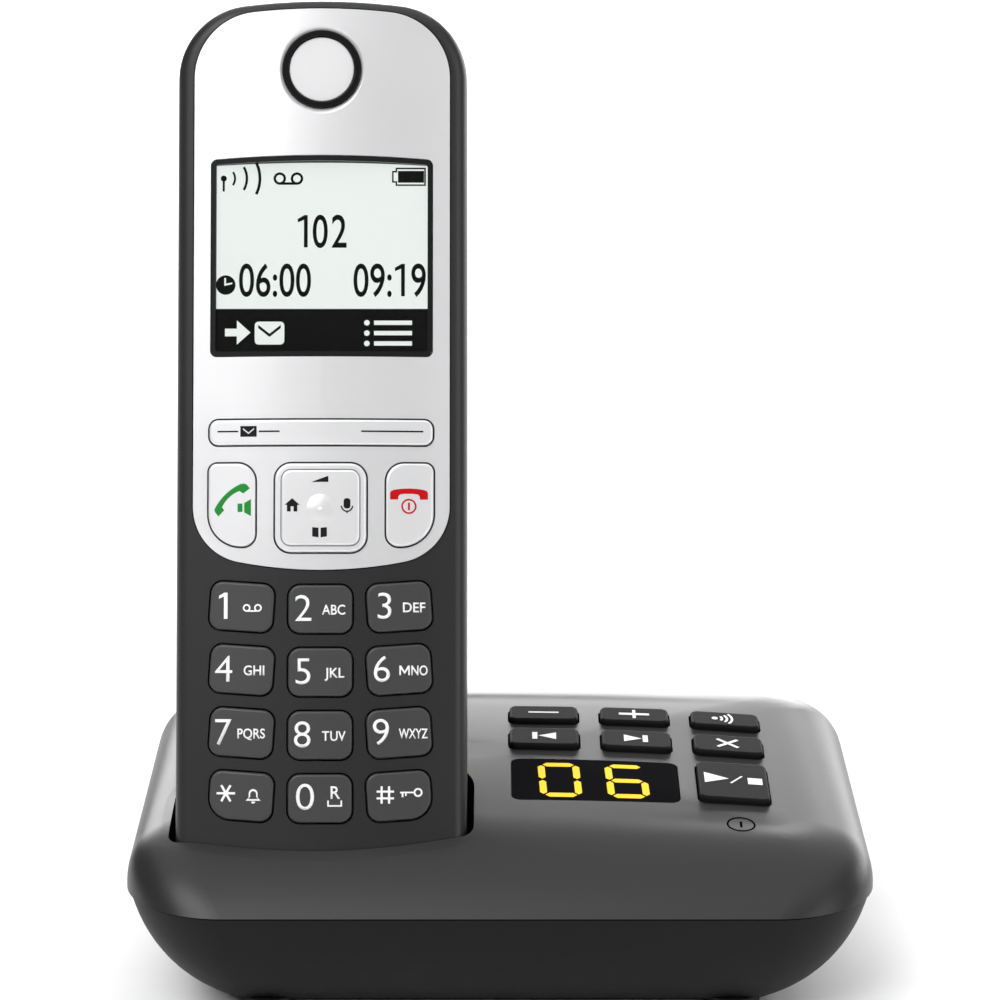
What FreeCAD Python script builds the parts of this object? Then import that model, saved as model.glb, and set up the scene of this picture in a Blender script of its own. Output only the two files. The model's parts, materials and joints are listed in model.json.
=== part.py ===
import FreeCAD, Part

import math
import os

import Sketcher

Vector = FreeCAD.Vector
Rotation = FreeCAD.Rotation
Placement = FreeCAD.Placement

X_AXIS = Vector(1, 0, 0)
Y_AXIS = Vector(0, 1, 0)
Z_AXIS = Vector(0, 0, 1)

# Driving sizes: millimetres and degrees.
SIZES = (
    # Base, outer form.  Slopes are measured from the table at the front and from upright in the bowl.
    ("base_width", 126.0),
    ("base_depth", 86.0),
    ("base_corner_radius", 17.0),
    ("seam_level", 21.5),
    ("front_slope_low", 50.0),
    ("front_slope_high", 10.0),
    ("front_arc_radius", 31.5),
    ("rear_shoulder", 16.0),
    ("rear_wall_straight", 0.5),
    ("left_shoulder", 11.7),
    ("right_shoulder", 13.0),
    ("side_fullness", 1.25),
    ("crown_rise", 0.8),
    ("crown_side_fall", 1.6),
    ("crown_crest", 8.0),
    ("foot_clearance", 0.9),
    ("seam_groove_height", 0.4),
    ("seam_groove_depth", 0.8),
    ("bowl_slope_top", 14.0),
    ("bowl_slope_bottom", 58.0),
    ("seam_step", 0.4),
    ("base_wall", 2.0),
    # Rubber feet
    ("foot_diameter", 10.0),
    ("foot_inset", 0.8),
    ("foot_from_side", 23.5),
    ("foot_from_front", 18.0),
    ("foot_from_back", 19.0),
    # Cradle well and handset seat
    ("handset_lean", 18.0),
    ("seat_from_side", 32.9),
    ("seat_from_front", 7.1),
    ("seat_level", 18.1),
    ("well_clearance", 1.2),
    ("well_front_clearance", 0.35),
    ("well_wall", 1.6),
    ("well_depth", 25.6),
    ("well_front_corner", 2.5),
    ("well_back_corner", 9.0),
    # Charging contacts
    ("contact_spacing", 24.0),
    ("contact_thickness", 1.0),
    ("contact_width", 3.0),
    ("contact_height", 6.0),
    ("contact_engagement", 0.45),
    ("contact_travel", 0.5),
    ("contact_depth", 12.5),
    ("contact_clearance", 0.2),
    ("carrier_width", 34.0),
    ("carrier_depth", 6.4),
    ("carrier_height", 5.4),
    # Base keys, console board and display
    ("base_key_width", 12.2),
    ("back_key_length", 6.0),
    ("middle_key_length", 7.1),
    ("play_key_length", 14.4),
    ("base_key_corner", 1.3),
    ("base_key_height", 3.4),
    ("base_key_proud", 1.0),
    ("base_key_edge", 0.55),
    ("base_key_gap", 0.3),
    ("base_key_travel", 0.8),
    ("base_stem_diameter", 3.6),
    ("press_gap", 0.1),
    ("console_from_back", 25.8),
    ("first_column_from_side", 55.2),
    ("second_column_from_side", 39.0),
    ("third_column_from_side", 22.8),
    ("key_row_back", 13.8),
    ("key_row_middle", 3.5),
    ("play_key_row", -11.4),
    ("window_width", 28.8),
    ("window_length", 15.2),
    ("window_from_side", 46.6),
    ("window_along", -11.6),
    ("window_corner", 1.6),
    ("window_thickness", 1.4),
    ("window_ledge", 1.2),
    ("trim_gap", 0.12),
    ("console_mat_level", -5.6),
    ("mat_thickness", 1.0),
    ("board_thickness", 1.6),
    ("console_board_width", 51.0),
    ("board_from_side", 38.5),
    ("board_from_crown_back", 2.9),
    ("board_from_crown_front", 3.4),
    ("console_mat_corner", 1.6),
    ("console_boss_diameter", 3.2),
    ("console_boss_margin", 2.2),
    ("board_screw_diameter", 1.6),
    ("board_screw_head", 3.0),
    ("board_screw_head_height", 1.2),
    ("board_screw_length", 5.5),
    ("display_module_width", 22.0),
    ("display_module_length", 10.0),
    ("display_gap", 0.2),
    # Case screws
    ("case_boss_from_side", 13.5),
    ("case_boss_from_back", 14.0),
    ("case_boss_diameter", 6.0),
    ("case_screw_diameter", 2.6),
    ("case_screw_head", 4.8),
    ("case_screw_head_height", 1.8),
    ("case_screw_length", 14.0),
    ("case_screw_floor", 9.0),
    ("screw_gap", 0.05),
    # Base loudspeaker
    ("speaker_diameter", 36.0),
    ("speaker_rim", 2.0),
    ("speaker_height", 9.0),
    ("speaker_basket_share", 0.55),
    ("speaker_from_side", 37.0),
    ("speaker_along", 4.0),
    ("speaker_slot_width", 1.6),
    ("speaker_slot_pitch", 3.6),
    ("slot_end_flat", 0.01),
    ("speaker_ring_height", 1.2),
    # Sockets in the rear wall
    ("line_socket_width", 13.4),
    ("line_socket_height", 9.0),
    ("line_socket_opening_width", 9.8),
    ("line_socket_opening_height", 6.8),
    ("power_socket_width", 11.0),
    ("power_socket_height", 8.6),
    ("power_socket_opening", 5.6),
    ("power_socket_pin", 1.3),
    ("line_socket_from_side", 51.0),
    ("power_socket_from_side", 31.0),
    ("socket_depth", 12.0),
    ("socket_cavity_depth", 10.5),
    ("socket_level", 26.3),
    ("socket_inset", 3.0),
    # Handset, outer form
    ("handset_width", 49.0),
    ("handset_length", 155.5),
    ("handset_top_arch", 130.0),
    ("handset_top_corner", 12.5),
    ("handset_bottom_corner", 9.0),
    ("face_radius", 110.0),
    ("thickness_bottom", 22.0),
    ("thickness_middle", 26.0),
    ("thickness_top", 18.0),
    ("thickest_at", 70.0),
    ("front_edge_radius", 2.5),
    ("back_edge_radius", 7.5),
    ("handset_wall", 1.8),
    ("parting_depth", 9.5),
    ("parting_gap", 0.15),
    # Faceplate and display
    ("plate_width", 43.2),
    ("plate_top", 153.8),
    ("plate_top_arch", 125.0),
    ("plate_top_corner", 11.0),
    ("plate_bottom", 58.9),
    ("plate_bottom_arch", 72.0),
    ("plate_bottom_corner", 9.5),
    ("plate_thickness", 0.9),
    ("plate_gap", 0.22),
    ("lens_width", 37.35),
    ("lens_bottom", 94.9),
    ("lens_top", 128.8),
    ("lens_corner", 1.0),
    ("lens_top_arch", 285.0),
    ("lens_ledge", 0.75),
    ("panel_gap", 0.15),
    # Earpiece
    ("earpiece_level", 143.5),
    ("earpiece_ring_diameter", 13.2),
    ("earpiece_ring_opening", 11.2),
    ("earpiece_ring_proud", 0.25),
    ("earpiece_disc_thickness", 0.6),
    ("earpiece_dish_width", 0.9),
    ("earpiece_dish_depth", 0.45),
    ("earpiece_speaker_diameter", 15.0),
    ("earpiece_speaker_height", 4.0),
    ("sound_hole_diameter", 1.3),
    # Handset keys
    ("key_gap", 0.3),
    ("key_proud", 0.6),
    ("key_depth", 2.5),
    ("key_edge", 0.4),
    ("key_travel", 0.65),
    ("key_width", 10.7),
    ("key_length", 8.05),
    ("key_corner", 2.0),
    ("key_outer_corner", 3.7),
    ("key_column", 13.2),
    ("key_row_top", 52.7),
    ("key_pitch", 10.55),
    ("key_middle_drop", 0.4),
    ("key_tilt", 4.0),
    ("key_stem_diameter", 3.2),
    ("rocker_width", 37.55),
    ("rocker_length", 4.2),
    ("rocker_level", 82.0),
    ("rocker_corner", 1.5),
    ("side_key_width", 7.9),
    ("side_key_length", 13.95),
    ("side_key_across", 14.95),
    ("side_key_level", 69.8),
    ("side_key_corner", 1.4),
    ("side_key_inner_corner", 3.0),
    ("side_key_inner_low_corner", 2.1),
    ("side_key_low_corner", 5.5),
    ("control_width", 15.3),
    ("control_length", 14.9),
    ("control_level", 69.3),
    ("control_corner", 2.7),
    ("control_ring", 1.1),
    ("control_ring_proud", 0.6),
    ("control_groove", 0.15),
    ("control_proud", 1.0),
    ("control_bump_radius", 2.3),
    ("control_bump_height", 0.3),
    ("pivot_diameter", 3.2),
    ("pivot_gap", 0.15),
    # Inside the handset
    ("mat_level", -5.0),
    ("mat_width", 40.0),
    ("mat_bottom", 14.5),
    ("mat_top", 86.0),
    ("inner_board_thickness", 1.2),
    ("inner_board_width", 41.0),
    ("inner_board_bottom", 7.0),
    ("inner_board_top", 135.0),
    ("inner_boss_diameter", 3.8),
    ("inner_boss_across", 17.6),
    ("inner_boss_low", 10.8),
    ("inner_boss_middle", 90.5),
    ("inner_boss_high", 132.0),
    ("inner_screw_bite", 2.6),
    ("microphone_diameter", 4.0),
    ("microphone_height", 2.2),
    ("microphone_level", 9.6),
    ("cell_diameter", 10.5),
    ("cell_length", 44.5),
    ("cell_button_diameter", 3.8),
    ("cell_button_height", 0.8),
    ("cell_bottom", 49.6),
    ("cell_gap", 0.2),
    ("tray_level", -12.4),
    ("tray_wall", 1.1),
    ("tray_bottom", 46.4),
    ("tray_top", 97.6),
    ("contact_plate", 0.4),
    ("door_width", 28.0),
    ("door_bottom", 44.0),
    ("door_top", 100.0),
    ("door_corner", 3.0),
    ("door_gap", 0.15),
    ("door_ledge", 1.6),
    ("door_grip_width", 12.0),
    ("door_grip_rib", 1.0),
    ("door_grip_pitch", 2.4),
    ("door_grip_proud", 0.35),
    ("door_grip_from_top", 5.0),
    ("handset_speaker_diameter", 20.0),
    ("handset_speaker_height", 4.5),
    ("handset_speaker_level", 122.0),
    ("handset_speaker_gap", 0.2),
    ("pad_thickness", 2.0),
    ("pad_width", 3.4),
    ("pad_length", 4.0),
    ("pad_recess", 0.5),
    ("pad_gap", 0.1),
)

doc = FreeCAD.newDocument("cordless_telephone")
sheet = doc.addObject("Spreadsheet::Sheet", "Sizes")
for row, (alias, value) in enumerate(SIZES, start=1):
    sheet.set(f"A{row}", alias)
    sheet.set(f"B{row}", str(value))
    sheet.setAlias(f"B{row}", alias)
doc.recompute()

parts = []


def size(alias):
    return float(sheet.get(alias))


def radians(alias):
    return math.radians(size(alias))


def keep(item, label, placement=None):
    """Label an object as one sub-part of the telephone and put it in its place."""
    item.Label = label
    if placement is not None:
        item.Placement = placement
    parts.append(item)
    return item


def keep_shape(label, shape, placement=None):
    """A sub-part whose form no sketch gives, made of solids by Part's own functions."""
    item = doc.addObject("Part::Feature", label)
    item.Shape = shape
    return keep(item, label, placement)


def moved(shape, placement):
    copy = shape.copy()
    copy.Placement = placement.multiply(copy.Placement)
    return copy


# ---------------------------------------------------------------- plane outlines

LEAST_CORNER = 0.05


def rounded_outline(width, length, radii, centre=(0.0, 0.0), turn=0.0):
    """Closed outline on the XY plane; radii run from the low left corner against the clock."""
    radii = [max(radius, LEAST_CORNER) for radius in radii]
    half_x, half_y = width / 2, length / 2
    corners = ((-half_x, -half_y), (half_x, -half_y), (half_x, half_y), (-half_x, half_y))
    legs = ((0, 1, 1, 0), (-1, 0, 0, 1), (0, -1, -1, 0), (1, 0, 0, -1))
    stations = []
    for (x, y), (in_x, in_y, out_x, out_y), radius in zip(corners, legs, radii):
        start = Vector(x + in_x * radius, y + in_y * radius, 0)
        end = Vector(x + out_x * radius, y + out_y * radius, 0)
        pull = radius * (1 - math.sqrt(0.5))
        middle = Vector(x + (in_x + out_x) * pull, y + (in_y + out_y) * pull, 0)
        stations.append((start, middle, end))
    edges = []
    for index, (start, middle, end) in enumerate(stations):
        edges.append(Part.Arc(start, middle, end).toShape())
        following = stations[(index + 1) % 4][0]
        edges.append(Part.LineSegment(end, following).toShape())
    wire = Part.Wire(edges)
    wire.Placement = Placement(Vector(centre[0], centre[1], 0), Rotation(Z_AXIS, turn))
    return wire


def arch_end(half, apex, arch, corner, side):
    """Tangent points of an arched end: a wide arc through the apex and two corner arcs."""
    reach = math.sqrt((arch - corner) ** 2 - (half - corner) ** 2)
    corner_y = apex - side * (arch - reach)
    corner_x = half - corner
    scale = arch / (arch - corner)
    touch = Vector(corner_x * scale, apex - side * (arch - reach * scale), 0)
    aim = math.atan2(reach, corner_x)
    middle_angle = aim / 2
    middle = Vector(
        corner_x + corner * math.cos(middle_angle),
        corner_y + side * corner * math.sin(middle_angle),
        0,
    )
    return Vector(half, corner_y, 0), middle, touch


def mirrored(point):
    return Vector(-point.x, point.y, point.z)


def arched_outline(half, low, high, top_arch, top_corner, bottom_arch, bottom_corner):
    """Long outline with an arched top; the bottom is arched too, or straight without a bottom arch."""
    side_top, top_middle, top_touch = arch_end(half, high, top_arch, top_corner, 1)
    edges = [
        Part.Arc(side_top, top_middle, top_touch).toShape(),
        Part.Arc(top_touch, Vector(0, high, 0), mirrored(top_touch)).toShape(),
        Part.Arc(mirrored(top_touch), mirrored(top_middle), mirrored(side_top)).toShape(),
    ]
    if bottom_arch:
        side_low, low_middle, low_touch = arch_end(half, low, bottom_arch, bottom_corner, -1)
        base_edge = Part.Arc(mirrored(low_touch), Vector(0, low, 0), low_touch).toShape()
    else:
        pull = bottom_corner * (1 - math.sqrt(0.5))
        side_low = Vector(half, low + bottom_corner, 0)
        low_middle = Vector(half - pull, low + pull, 0)
        low_touch = Vector(half - bottom_corner, low, 0)
        base_edge = Part.LineSegment(mirrored(low_touch), low_touch).toShape()
    edges += [
        Part.LineSegment(mirrored(side_top), mirrored(side_low)).toShape(),
        Part.Arc(mirrored(side_low), mirrored(low_middle), mirrored(low_touch)).toShape(),
        base_edge,
        Part.Arc(low_touch, low_middle, side_low).toShape(),
        Part.LineSegment(side_low, side_top).toShape(),
    ]
    return Part.Wire(edges)


def prism(wire, bottom, top):
    face = Part.Face(wire)
    face.translate(Vector(0, 0, bottom))
    return face.extrude(Vector(0, 0, top - bottom))


def rod(radius, bottom, top, x=0.0, y=0.0):
    return Part.makeCylinder(radius, top - bottom, Vector(x, y, bottom))


# ---------------------------------------------------------------- sketched bodies

def origin_plane(body, role):
    return [item for item in body.Origin.OriginFeatures if item.Role == role][0]


def new_sketch(body, name, role="XY_Plane"):
    sketch = body.newObject("Sketcher::SketchObject", name)
    sketch.AttachmentSupport = [(origin_plane(body, role), "")]
    sketch.MapMode = "FlatFace"
    return sketch


def bind(sketch, name, expression):
    sketch.renameConstraint(sketch.ConstraintCount - 1, name)
    sketch.setExpression(f"Constraints.{name}", expression)


def sketch_rounded_rectangle(body, name, width, length, corner):
    """Rounded rectangle about the sketch's origin; width, length and corner are expressions."""
    sketch = new_sketch(body, name)
    wide = float(sketch.evalExpression(width))
    tall = float(sketch.evalExpression(length))
    radius = float(sketch.evalExpression(corner))
    x, y = wide / 2, tall / 2
    quarter = math.pi / 2
    circle_at = (
        (x - radius, -y + radius, -quarter),
        (x - radius, y - radius, 0.0),
        (-x + radius, y - radius, quarter),
        (-x + radius, -y + radius, 2 * quarter),
    )
    line_at = (
        ((-x + radius, -y), (x - radius, -y)),
        ((x, -y + radius), (x, y - radius)),
        ((x - radius, y), (-x + radius, y)),
        ((-x, y - radius), (-x, -y + radius)),
    )
    for (start, end), (cx, cy, angle) in zip(line_at, circle_at):
        sketch.addGeometry(Part.LineSegment(Vector(*start, 0), Vector(*end, 0)), False)
        circle = Part.Circle(Vector(cx, cy, 0), Z_AXIS, radius)
        sketch.addGeometry(Part.ArcOfCircle(circle, angle, angle + quarter), False)
    for index in range(8):
        sketch.addConstraint(Sketcher.Constraint("Tangent", index, 2, (index + 1) % 8, 1))
    for index in (0, 4):
        sketch.addConstraint(Sketcher.Constraint("Horizontal", index))
    for index in (2, 6):
        sketch.addConstraint(Sketcher.Constraint("Vertical", index))
    for index in (3, 5, 7):
        sketch.addConstraint(Sketcher.Constraint("Equal", 1, index))
    sketch.addConstraint(Sketcher.Constraint("Symmetric", 0, 1, 4, 1, -1, 1))
    sketch.addConstraint(Sketcher.Constraint("Radius", 1, radius))
    bind(sketch, "corner", corner)
    sketch.addConstraint(Sketcher.Constraint("DistanceX", 6, 1, 2, 1, wide))
    bind(sketch, "width", width)
    sketch.addConstraint(Sketcher.Constraint("DistanceY", 0, 1, 4, 1, tall))
    bind(sketch, "length", length)
    return sketch


def sketch_circle(body, name, diameter, centre=(0.0, 0.0)):
    sketch = new_sketch(body, name)
    width = float(sketch.evalExpression(diameter))
    sketch.addGeometry(Part.Circle(Vector(*centre, 0), Z_AXIS, width / 2), False)
    sketch.addConstraint(Sketcher.Constraint("DistanceX", -1, 1, 0, 3, centre[0]))
    sketch.addConstraint(Sketcher.Constraint("DistanceY", -1, 1, 0, 3, centre[1]))
    sketch.addConstraint(Sketcher.Constraint("Diameter", 0, width))
    bind(sketch, "diameter", diameter)
    return sketch


def pad(body, sketch, length, name="Pad", backwards=False):
    feature = body.newObject("PartDesign::Pad", name)
    feature.Profile = sketch
    feature.setExpression("Length", length)
    feature.Reversed = backwards
    sketch.Visibility = False
    doc.recompute()
    return feature


def round_end(body, feature, radius, top=True):
    """Fillet the edges of the end face that lies highest, or lowest, in the body's own frame."""
    bounds = feature.Shape.BoundBox
    level = bounds.ZMax if top else bounds.ZMin
    names = [
        f"Edge{index}"
        for index, edge in enumerate(feature.Shape.Edges, start=1)
        if abs(edge.BoundBox.ZMax - level) < 1e-4 and abs(edge.BoundBox.ZMin - level) < 1e-4
    ]
    fillet = body.newObject("PartDesign::Fillet", "EdgeRound")
    fillet.Base = (feature, names)
    fillet.setExpression("Radius", radius)
    doc.recompute()
    return fillet


# ---------------------------------------------------------------- base, outer form

CROWN_RINGS = 10
SHOULDER_STEPS = (0.0, 0.14, 0.28, 0.42, 0.56, 0.7, 0.85, 1.0)
BOWL_STEPS = (0.0, 0.25, 0.5, 0.75, 1.0)
CORNER_TAPER = 0.75
BOWL_CORNER_TAPER = 0.6
LOFT_DEGREE = 5


def arched_ring(left, right, front, back, corner, bend):
    """Rounded rectangle between four edges, bent down to both sides of a crest left of the middle."""
    front_y, front_z = front
    back_y, back_z = back
    half_x = (right - left) / 2
    middle_x = (right + left) / 2

    def lift(x, y):
        level = front_z + (back_z - front_z) * (y - front_y) / (back_y - front_y)
        across = middle_x + x
        return Vector(across, y, level - bend * across * (across + 2 * size("crown_crest")))

    pull = corner * (1 - math.sqrt(0.5))
    inner_x = half_x - corner
    near_x = half_x - pull
    corners = (
        (lift(inner_x, front_y), lift(near_x, front_y + pull), lift(half_x, front_y + corner)),
        (lift(half_x, back_y - corner), lift(near_x, back_y - pull), lift(inner_x, back_y)),
        (lift(-inner_x, back_y), lift(-near_x, back_y - pull), lift(-half_x, back_y - corner)),
        (lift(-half_x, front_y + corner), lift(-near_x, front_y + pull), lift(-inner_x, front_y)),
    )
    crests = (None, lift(0, back_y), None, lift(0, front_y))
    edges = []
    for index, (start, middle, end) in enumerate(corners):
        edges.append(Part.Arc(start, middle, end).toShape())
        following = corners[(index + 1) % 4][0]
        crest = crests[index]
        if crest is None or bend == 0:
            edges.append(Part.LineSegment(end, following).toShape())
        else:
            edges.append(Part.Arc(end, crest, following).toShape())
    return Part.Wire(edges)


def shoulder_section(step, inset):
    """Left and right edge, front and back point and corner of the top, part way up its shoulders."""
    turn = math.pi / 2 * step
    low = radians("front_slope_low")
    high = radians("front_slope_high")
    slope = low + (high - low) * step
    arc = size("front_arc_radius")
    front = (
        -size("base_depth") / 2 + arc * (math.sin(low) - math.sin(slope)) + inset * math.sin(slope),
        size("seam_level") + arc * (math.cos(slope) - math.cos(low)) - inset * math.cos(slope),
    )
    rear = size("rear_shoulder")
    back = (
        size("base_depth") / 2 - rear * (1 - math.cos(turn)) - inset * math.cos(turn),
        size("seam_level") + size("rear_wall_straight") * step + (rear - inset) * math.sin(turn),
    )
    draw_in = (1 - math.cos(turn)) ** size("side_fullness")
    edge = size("base_width") / 2 - inset * math.cos(turn)
    left = size("left_shoulder") * draw_in - edge
    right = edge - size("right_shoulder") * draw_in
    corner = (size("base_corner_radius") - inset) * (1 - CORNER_TAPER * step)
    return left, right, front, back, corner


def base_top_form(inset=0.0):
    """Solid of the top: shoulders all round, then a crown that rises to the back and falls to the sides."""
    _, crown_right, _, _, _ = shoulder_section(1.0, inset)
    bend = size("crown_side_fall") / (crown_right * (crown_right + 2 * size("crown_crest")))
    rings = []
    for step in SHOULDER_STEPS:
        left, right, front, back, corner = shoulder_section(step, inset)
        rings.append(arched_ring(left, right, front, back, corner, bend * step**2))
    middle_y = (front[0] + back[0]) / 2
    middle_z = (front[1] + back[1]) / 2
    half_y = (back[0] - front[0]) / 2
    half_z = (back[1] - front[1]) / 2
    for count in range(1, CROWN_RINGS):
        share = 1 - count / CROWN_RINGS
        level = middle_z + size("crown_rise") * (1 - share**2)
        near = (middle_y - half_y * share, level - half_z * share)
        far = (middle_y + half_y * share, level + half_z * share)
        last = count == CROWN_RINGS - 1
        ring_bend = 0 if last else bend
        rings.append(arched_ring(left * share, right * share, near, far, corner * share, ring_bend))
    return Part.makeLoft(rings, True, False, False, LOFT_DEGREE)


def bowl_form(inset=0.0):
    """Solid of the lower housing: undercut sides that curl in to a flat underside."""
    start = radians("bowl_slope_top")
    finish = radians("bowl_slope_bottom")
    drop = size("seam_level") - size("foot_clearance")
    arc = drop / (math.sin(finish) - math.sin(start))
    rings = []
    for step in BOWL_STEPS:
        slope = start + (finish - start) * step
        level = size("seam_level") - arc * (math.sin(slope) - math.sin(start)) + inset * math.sin(slope)
        back_in = size("seam_step") + arc * (math.cos(start) - math.cos(slope)) + inset * math.cos(slope)
        half_x = size("base_width") / 2 - back_in
        half_y = size("base_depth") / 2 - back_in
        corner = (size("base_corner_radius") - inset) * (1 - BOWL_CORNER_TAPER * step)
        rings.append(arched_ring(-half_x, half_x, (-half_y, level), (half_y, level), corner, 0))
    rings.reverse()
    return Part.makeLoft(rings, True, False, False, LOFT_DEGREE)


top_form = base_top_form()
top_cavity = base_top_form(size("base_wall"))
bowl = bowl_form()
bowl_cavity = bowl_form(size("base_wall"))


def height_on(form, x, y):
    """Level of a form's upper surface above one place on the table."""
    probe = Part.makeLine(Vector(x, y, size("seam_level")), Vector(x, y, 3 * size("seam_level")))
    return form.common(probe).BoundBox.ZMax


# The console frame lies along the crown, at a set distance from its back edge: X across, Y up the
# slope, Z out of the surface.
_, _, crown_front, crown_back, _ = shoulder_section(1.0, 0.0)
crown_slope = math.atan2(crown_back[1] - crown_front[1], crown_back[0] - crown_front[0])
crown_length = math.dist(crown_front, crown_back)
console_origin = Vector(
    0,
    crown_back[0] - size("console_from_back") * math.cos(crown_slope),
    crown_back[1] - size("console_from_back") * math.sin(crown_slope) + size("crown_rise"),
)
console = Placement(console_origin, Rotation(X_AXIS, math.degrees(crown_slope)))
console_normal = console.Rotation.multVec(Z_AXIS)


def from_right(alias):
    """A place across the base, given by its distance from the right side."""
    return size("base_width") / 2 - size(alias)


# The handset frame lies on the handset's face: X across, Y along it from the foot, Z out of the face.
seat = Placement(
    Vector(
        size("seat_from_side") - size("base_width") / 2,
        size("seat_from_front") - size("base_depth") / 2,
        size("seat_level"),
    ),
    Rotation(X_AXIS, 90 - size("handset_lean")),
)


# ---------------------------------------------------------------- handset, outer form

def face_cylinder(offset):
    """Everything behind the face, whose surface is a wide cylinder along the handset."""
    radius = size("face_radius") + offset
    length = 3 * size("handset_length")
    return Part.makeCylinder(
        radius, length, Vector(0, -size("handset_length"), -size("face_radius")), Y_AXIS
    )


def back_depth(y, inset=0.0):
    """Depth of the back below the face at a place along the handset: a parabola by three depths."""
    low = size("thickness_bottom")
    middle_y = size("thickest_at")
    top_y = size("handset_length")
    rise_middle = (size("thickness_middle") - low) / middle_y
    rise_top = (size("thickness_top") - low) / top_y
    bend = (rise_top - rise_middle) / (top_y - middle_y)
    return low + y * (rise_middle + bend * (y - middle_y)) - inset


def side_profile(inset):
    """Slab between the face and the curved back, across the handset."""
    reach = size("handset_width")
    over = 2.0
    overrun = 10.0
    length = size("handset_length")
    stations = (-overrun, length / 2, length + overrun)
    low, middle, high = [Vector(-reach, y, -back_depth(y, inset)) for y in stations]
    wire = Part.Wire(
        [
            Part.Arc(low, middle, high).toShape(),
            Part.LineSegment(high, Vector(-reach, high.y, over)).toShape(),
            Part.LineSegment(Vector(-reach, high.y, over), Vector(-reach, low.y, over)).toShape(),
            Part.LineSegment(Vector(-reach, low.y, over), low).toShape(),
        ]
    )
    return Part.Face(wire).extrude(Vector(2 * reach, 0, 0))


def handset_outline(offset=0.0):
    """The handset seen from the front, grown or shrunk by offset."""
    return arched_outline(
        size("handset_width") / 2 + offset,
        -offset,
        size("handset_length") + offset,
        size("handset_top_arch") + offset,
        size("handset_top_corner") + offset,
        None,
        size("handset_bottom_corner") + offset,
    )


def handset_form(inset=0.0):
    depth = size("thickness_middle") + size("thickness_bottom")
    form = prism(handset_outline(-inset), -depth, size("plate_thickness"))
    form = form.common(side_profile(inset)).common(face_cylinder(-inset)).removeSplitter()
    back = [edge for edge in form.Edges if edge.BoundBox.ZMax < -size("parting_depth")]
    form = form.makeFillet(size("back_edge_radius") - inset, back)
    front = [edge for edge in form.Edges if edge.BoundBox.ZMin > -size("parting_depth")]
    return form.makeFillet(size("front_edge_radius") - inset, front)


# ---------------------------------------------------------------- cradle well

def well_block(grow, front, back, foot, front_corner, back_corner):
    """Rounded block round the handset's foot with a curved front, in the handset frame."""
    outline = arched_outline(
        size("handset_width") / 2 + grow,
        foot,
        size("handset_length"),
        size("handset_top_arch"),
        size("handset_top_corner"),
        None,
        size("handset_bottom_corner") + grow,
    )
    block = prism(outline, -back, size("well_depth")).common(face_cylinder(front))
    middle = -size("well_depth") / 2
    long_edges = [edge for edge in block.Edges if edge.BoundBox.YLength > size("handset_length") / 2]
    front_edges = [edge for edge in long_edges if edge.BoundBox.ZMin > middle]
    back_edges = [edge for edge in long_edges if edge.BoundBox.ZMax < middle]
    return block.makeFillet(front_corner, front_edges).makeFillet(back_corner, back_edges)


well_skin = size("well_clearance") + size("well_wall")
well_front_skin = size("well_front_clearance") + size("well_wall")
well_cavity = moved(
    well_block(
        size("well_clearance"),
        size("well_front_clearance"),
        size("well_depth"),
        0.0,
        size("well_front_corner"),
        size("well_back_corner"),
    ),
    seat,
)
well_solid = moved(
    well_block(
        well_skin,
        well_front_skin,
        size("well_depth") + size("well_wall"),
        -size("well_wall"),
        size("well_front_corner") + size("well_wall"),
        size("well_back_corner") + size("well_wall"),
    ),
    seat,
)


# ---------------------------------------------------------------- base housings

def console_block(wire, bottom, top):
    return moved(prism(wire, bottom, top), console)


def crown_layer(depth):
    """The skin of the crown down to a depth, measured square to the console."""
    below = top_form.copy()
    below.translate(console_normal * -depth)
    return top_form.cut(below)


row_back = size("key_row_back")
row_middle = size("key_row_middle")
columns = (
    from_right("first_column_from_side"),
    from_right("second_column_from_side"),
    from_right("third_column_from_side"),
)
BASE_KEYS = (
    ("key_volume_down", columns[0], row_back, "back_key_length"),
    ("key_volume_up", columns[1], row_back, "back_key_length"),
    ("key_paging", columns[2], row_back, "back_key_length"),
    ("key_previous", columns[0], row_middle, "middle_key_length"),
    ("key_next", columns[1], row_middle, "middle_key_length"),
    ("key_delete", columns[2], row_middle, "middle_key_length"),
    ("key_play_stop", columns[2], size("play_key_row"), "play_key_length"),
)


def on_console(x, y):
    """A place on the table plane, given in the console frame and lifted to the crown's surface."""
    point = console.multVec(Vector(x, y, 0))
    level = height_on(top_form, x, point.y)
    inverse = console.inverse()
    return inverse.multVec(Vector(x, point.y, level))


def key_frame(x, y):
    """Frame on the crown at one key, which leans with the crown's fall to the sides."""
    reach = size("base_key_width") / 2
    fall = on_console(x - reach, y).z - on_console(x + reach, y).z
    lean = math.degrees(math.atan2(fall, 2 * reach))
    on_crown = Placement(Vector(x, y, on_console(x, y).z), Rotation(Y_AXIS, lean))
    return console.multiply(on_crown)


def key_hole(x, y, length):
    corner = size("base_key_corner") + size("base_key_gap")
    wire = rounded_outline(
        size("base_key_width") + 2 * size("base_key_gap"),
        length + 2 * size("base_key_gap"),
        (corner,) * 4,
    )
    depth = size("base_key_height")
    return moved(prism(wire, -depth, depth), key_frame(x, y))


window_x = from_right("window_from_side")


def window_outline(grow=0.0):
    corner = size("window_corner") + grow
    return rounded_outline(
        size("window_width") + 2 * grow,
        size("window_length") + 2 * grow,
        (corner,) * 4,
        (window_x, size("window_along")),
    )


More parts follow.
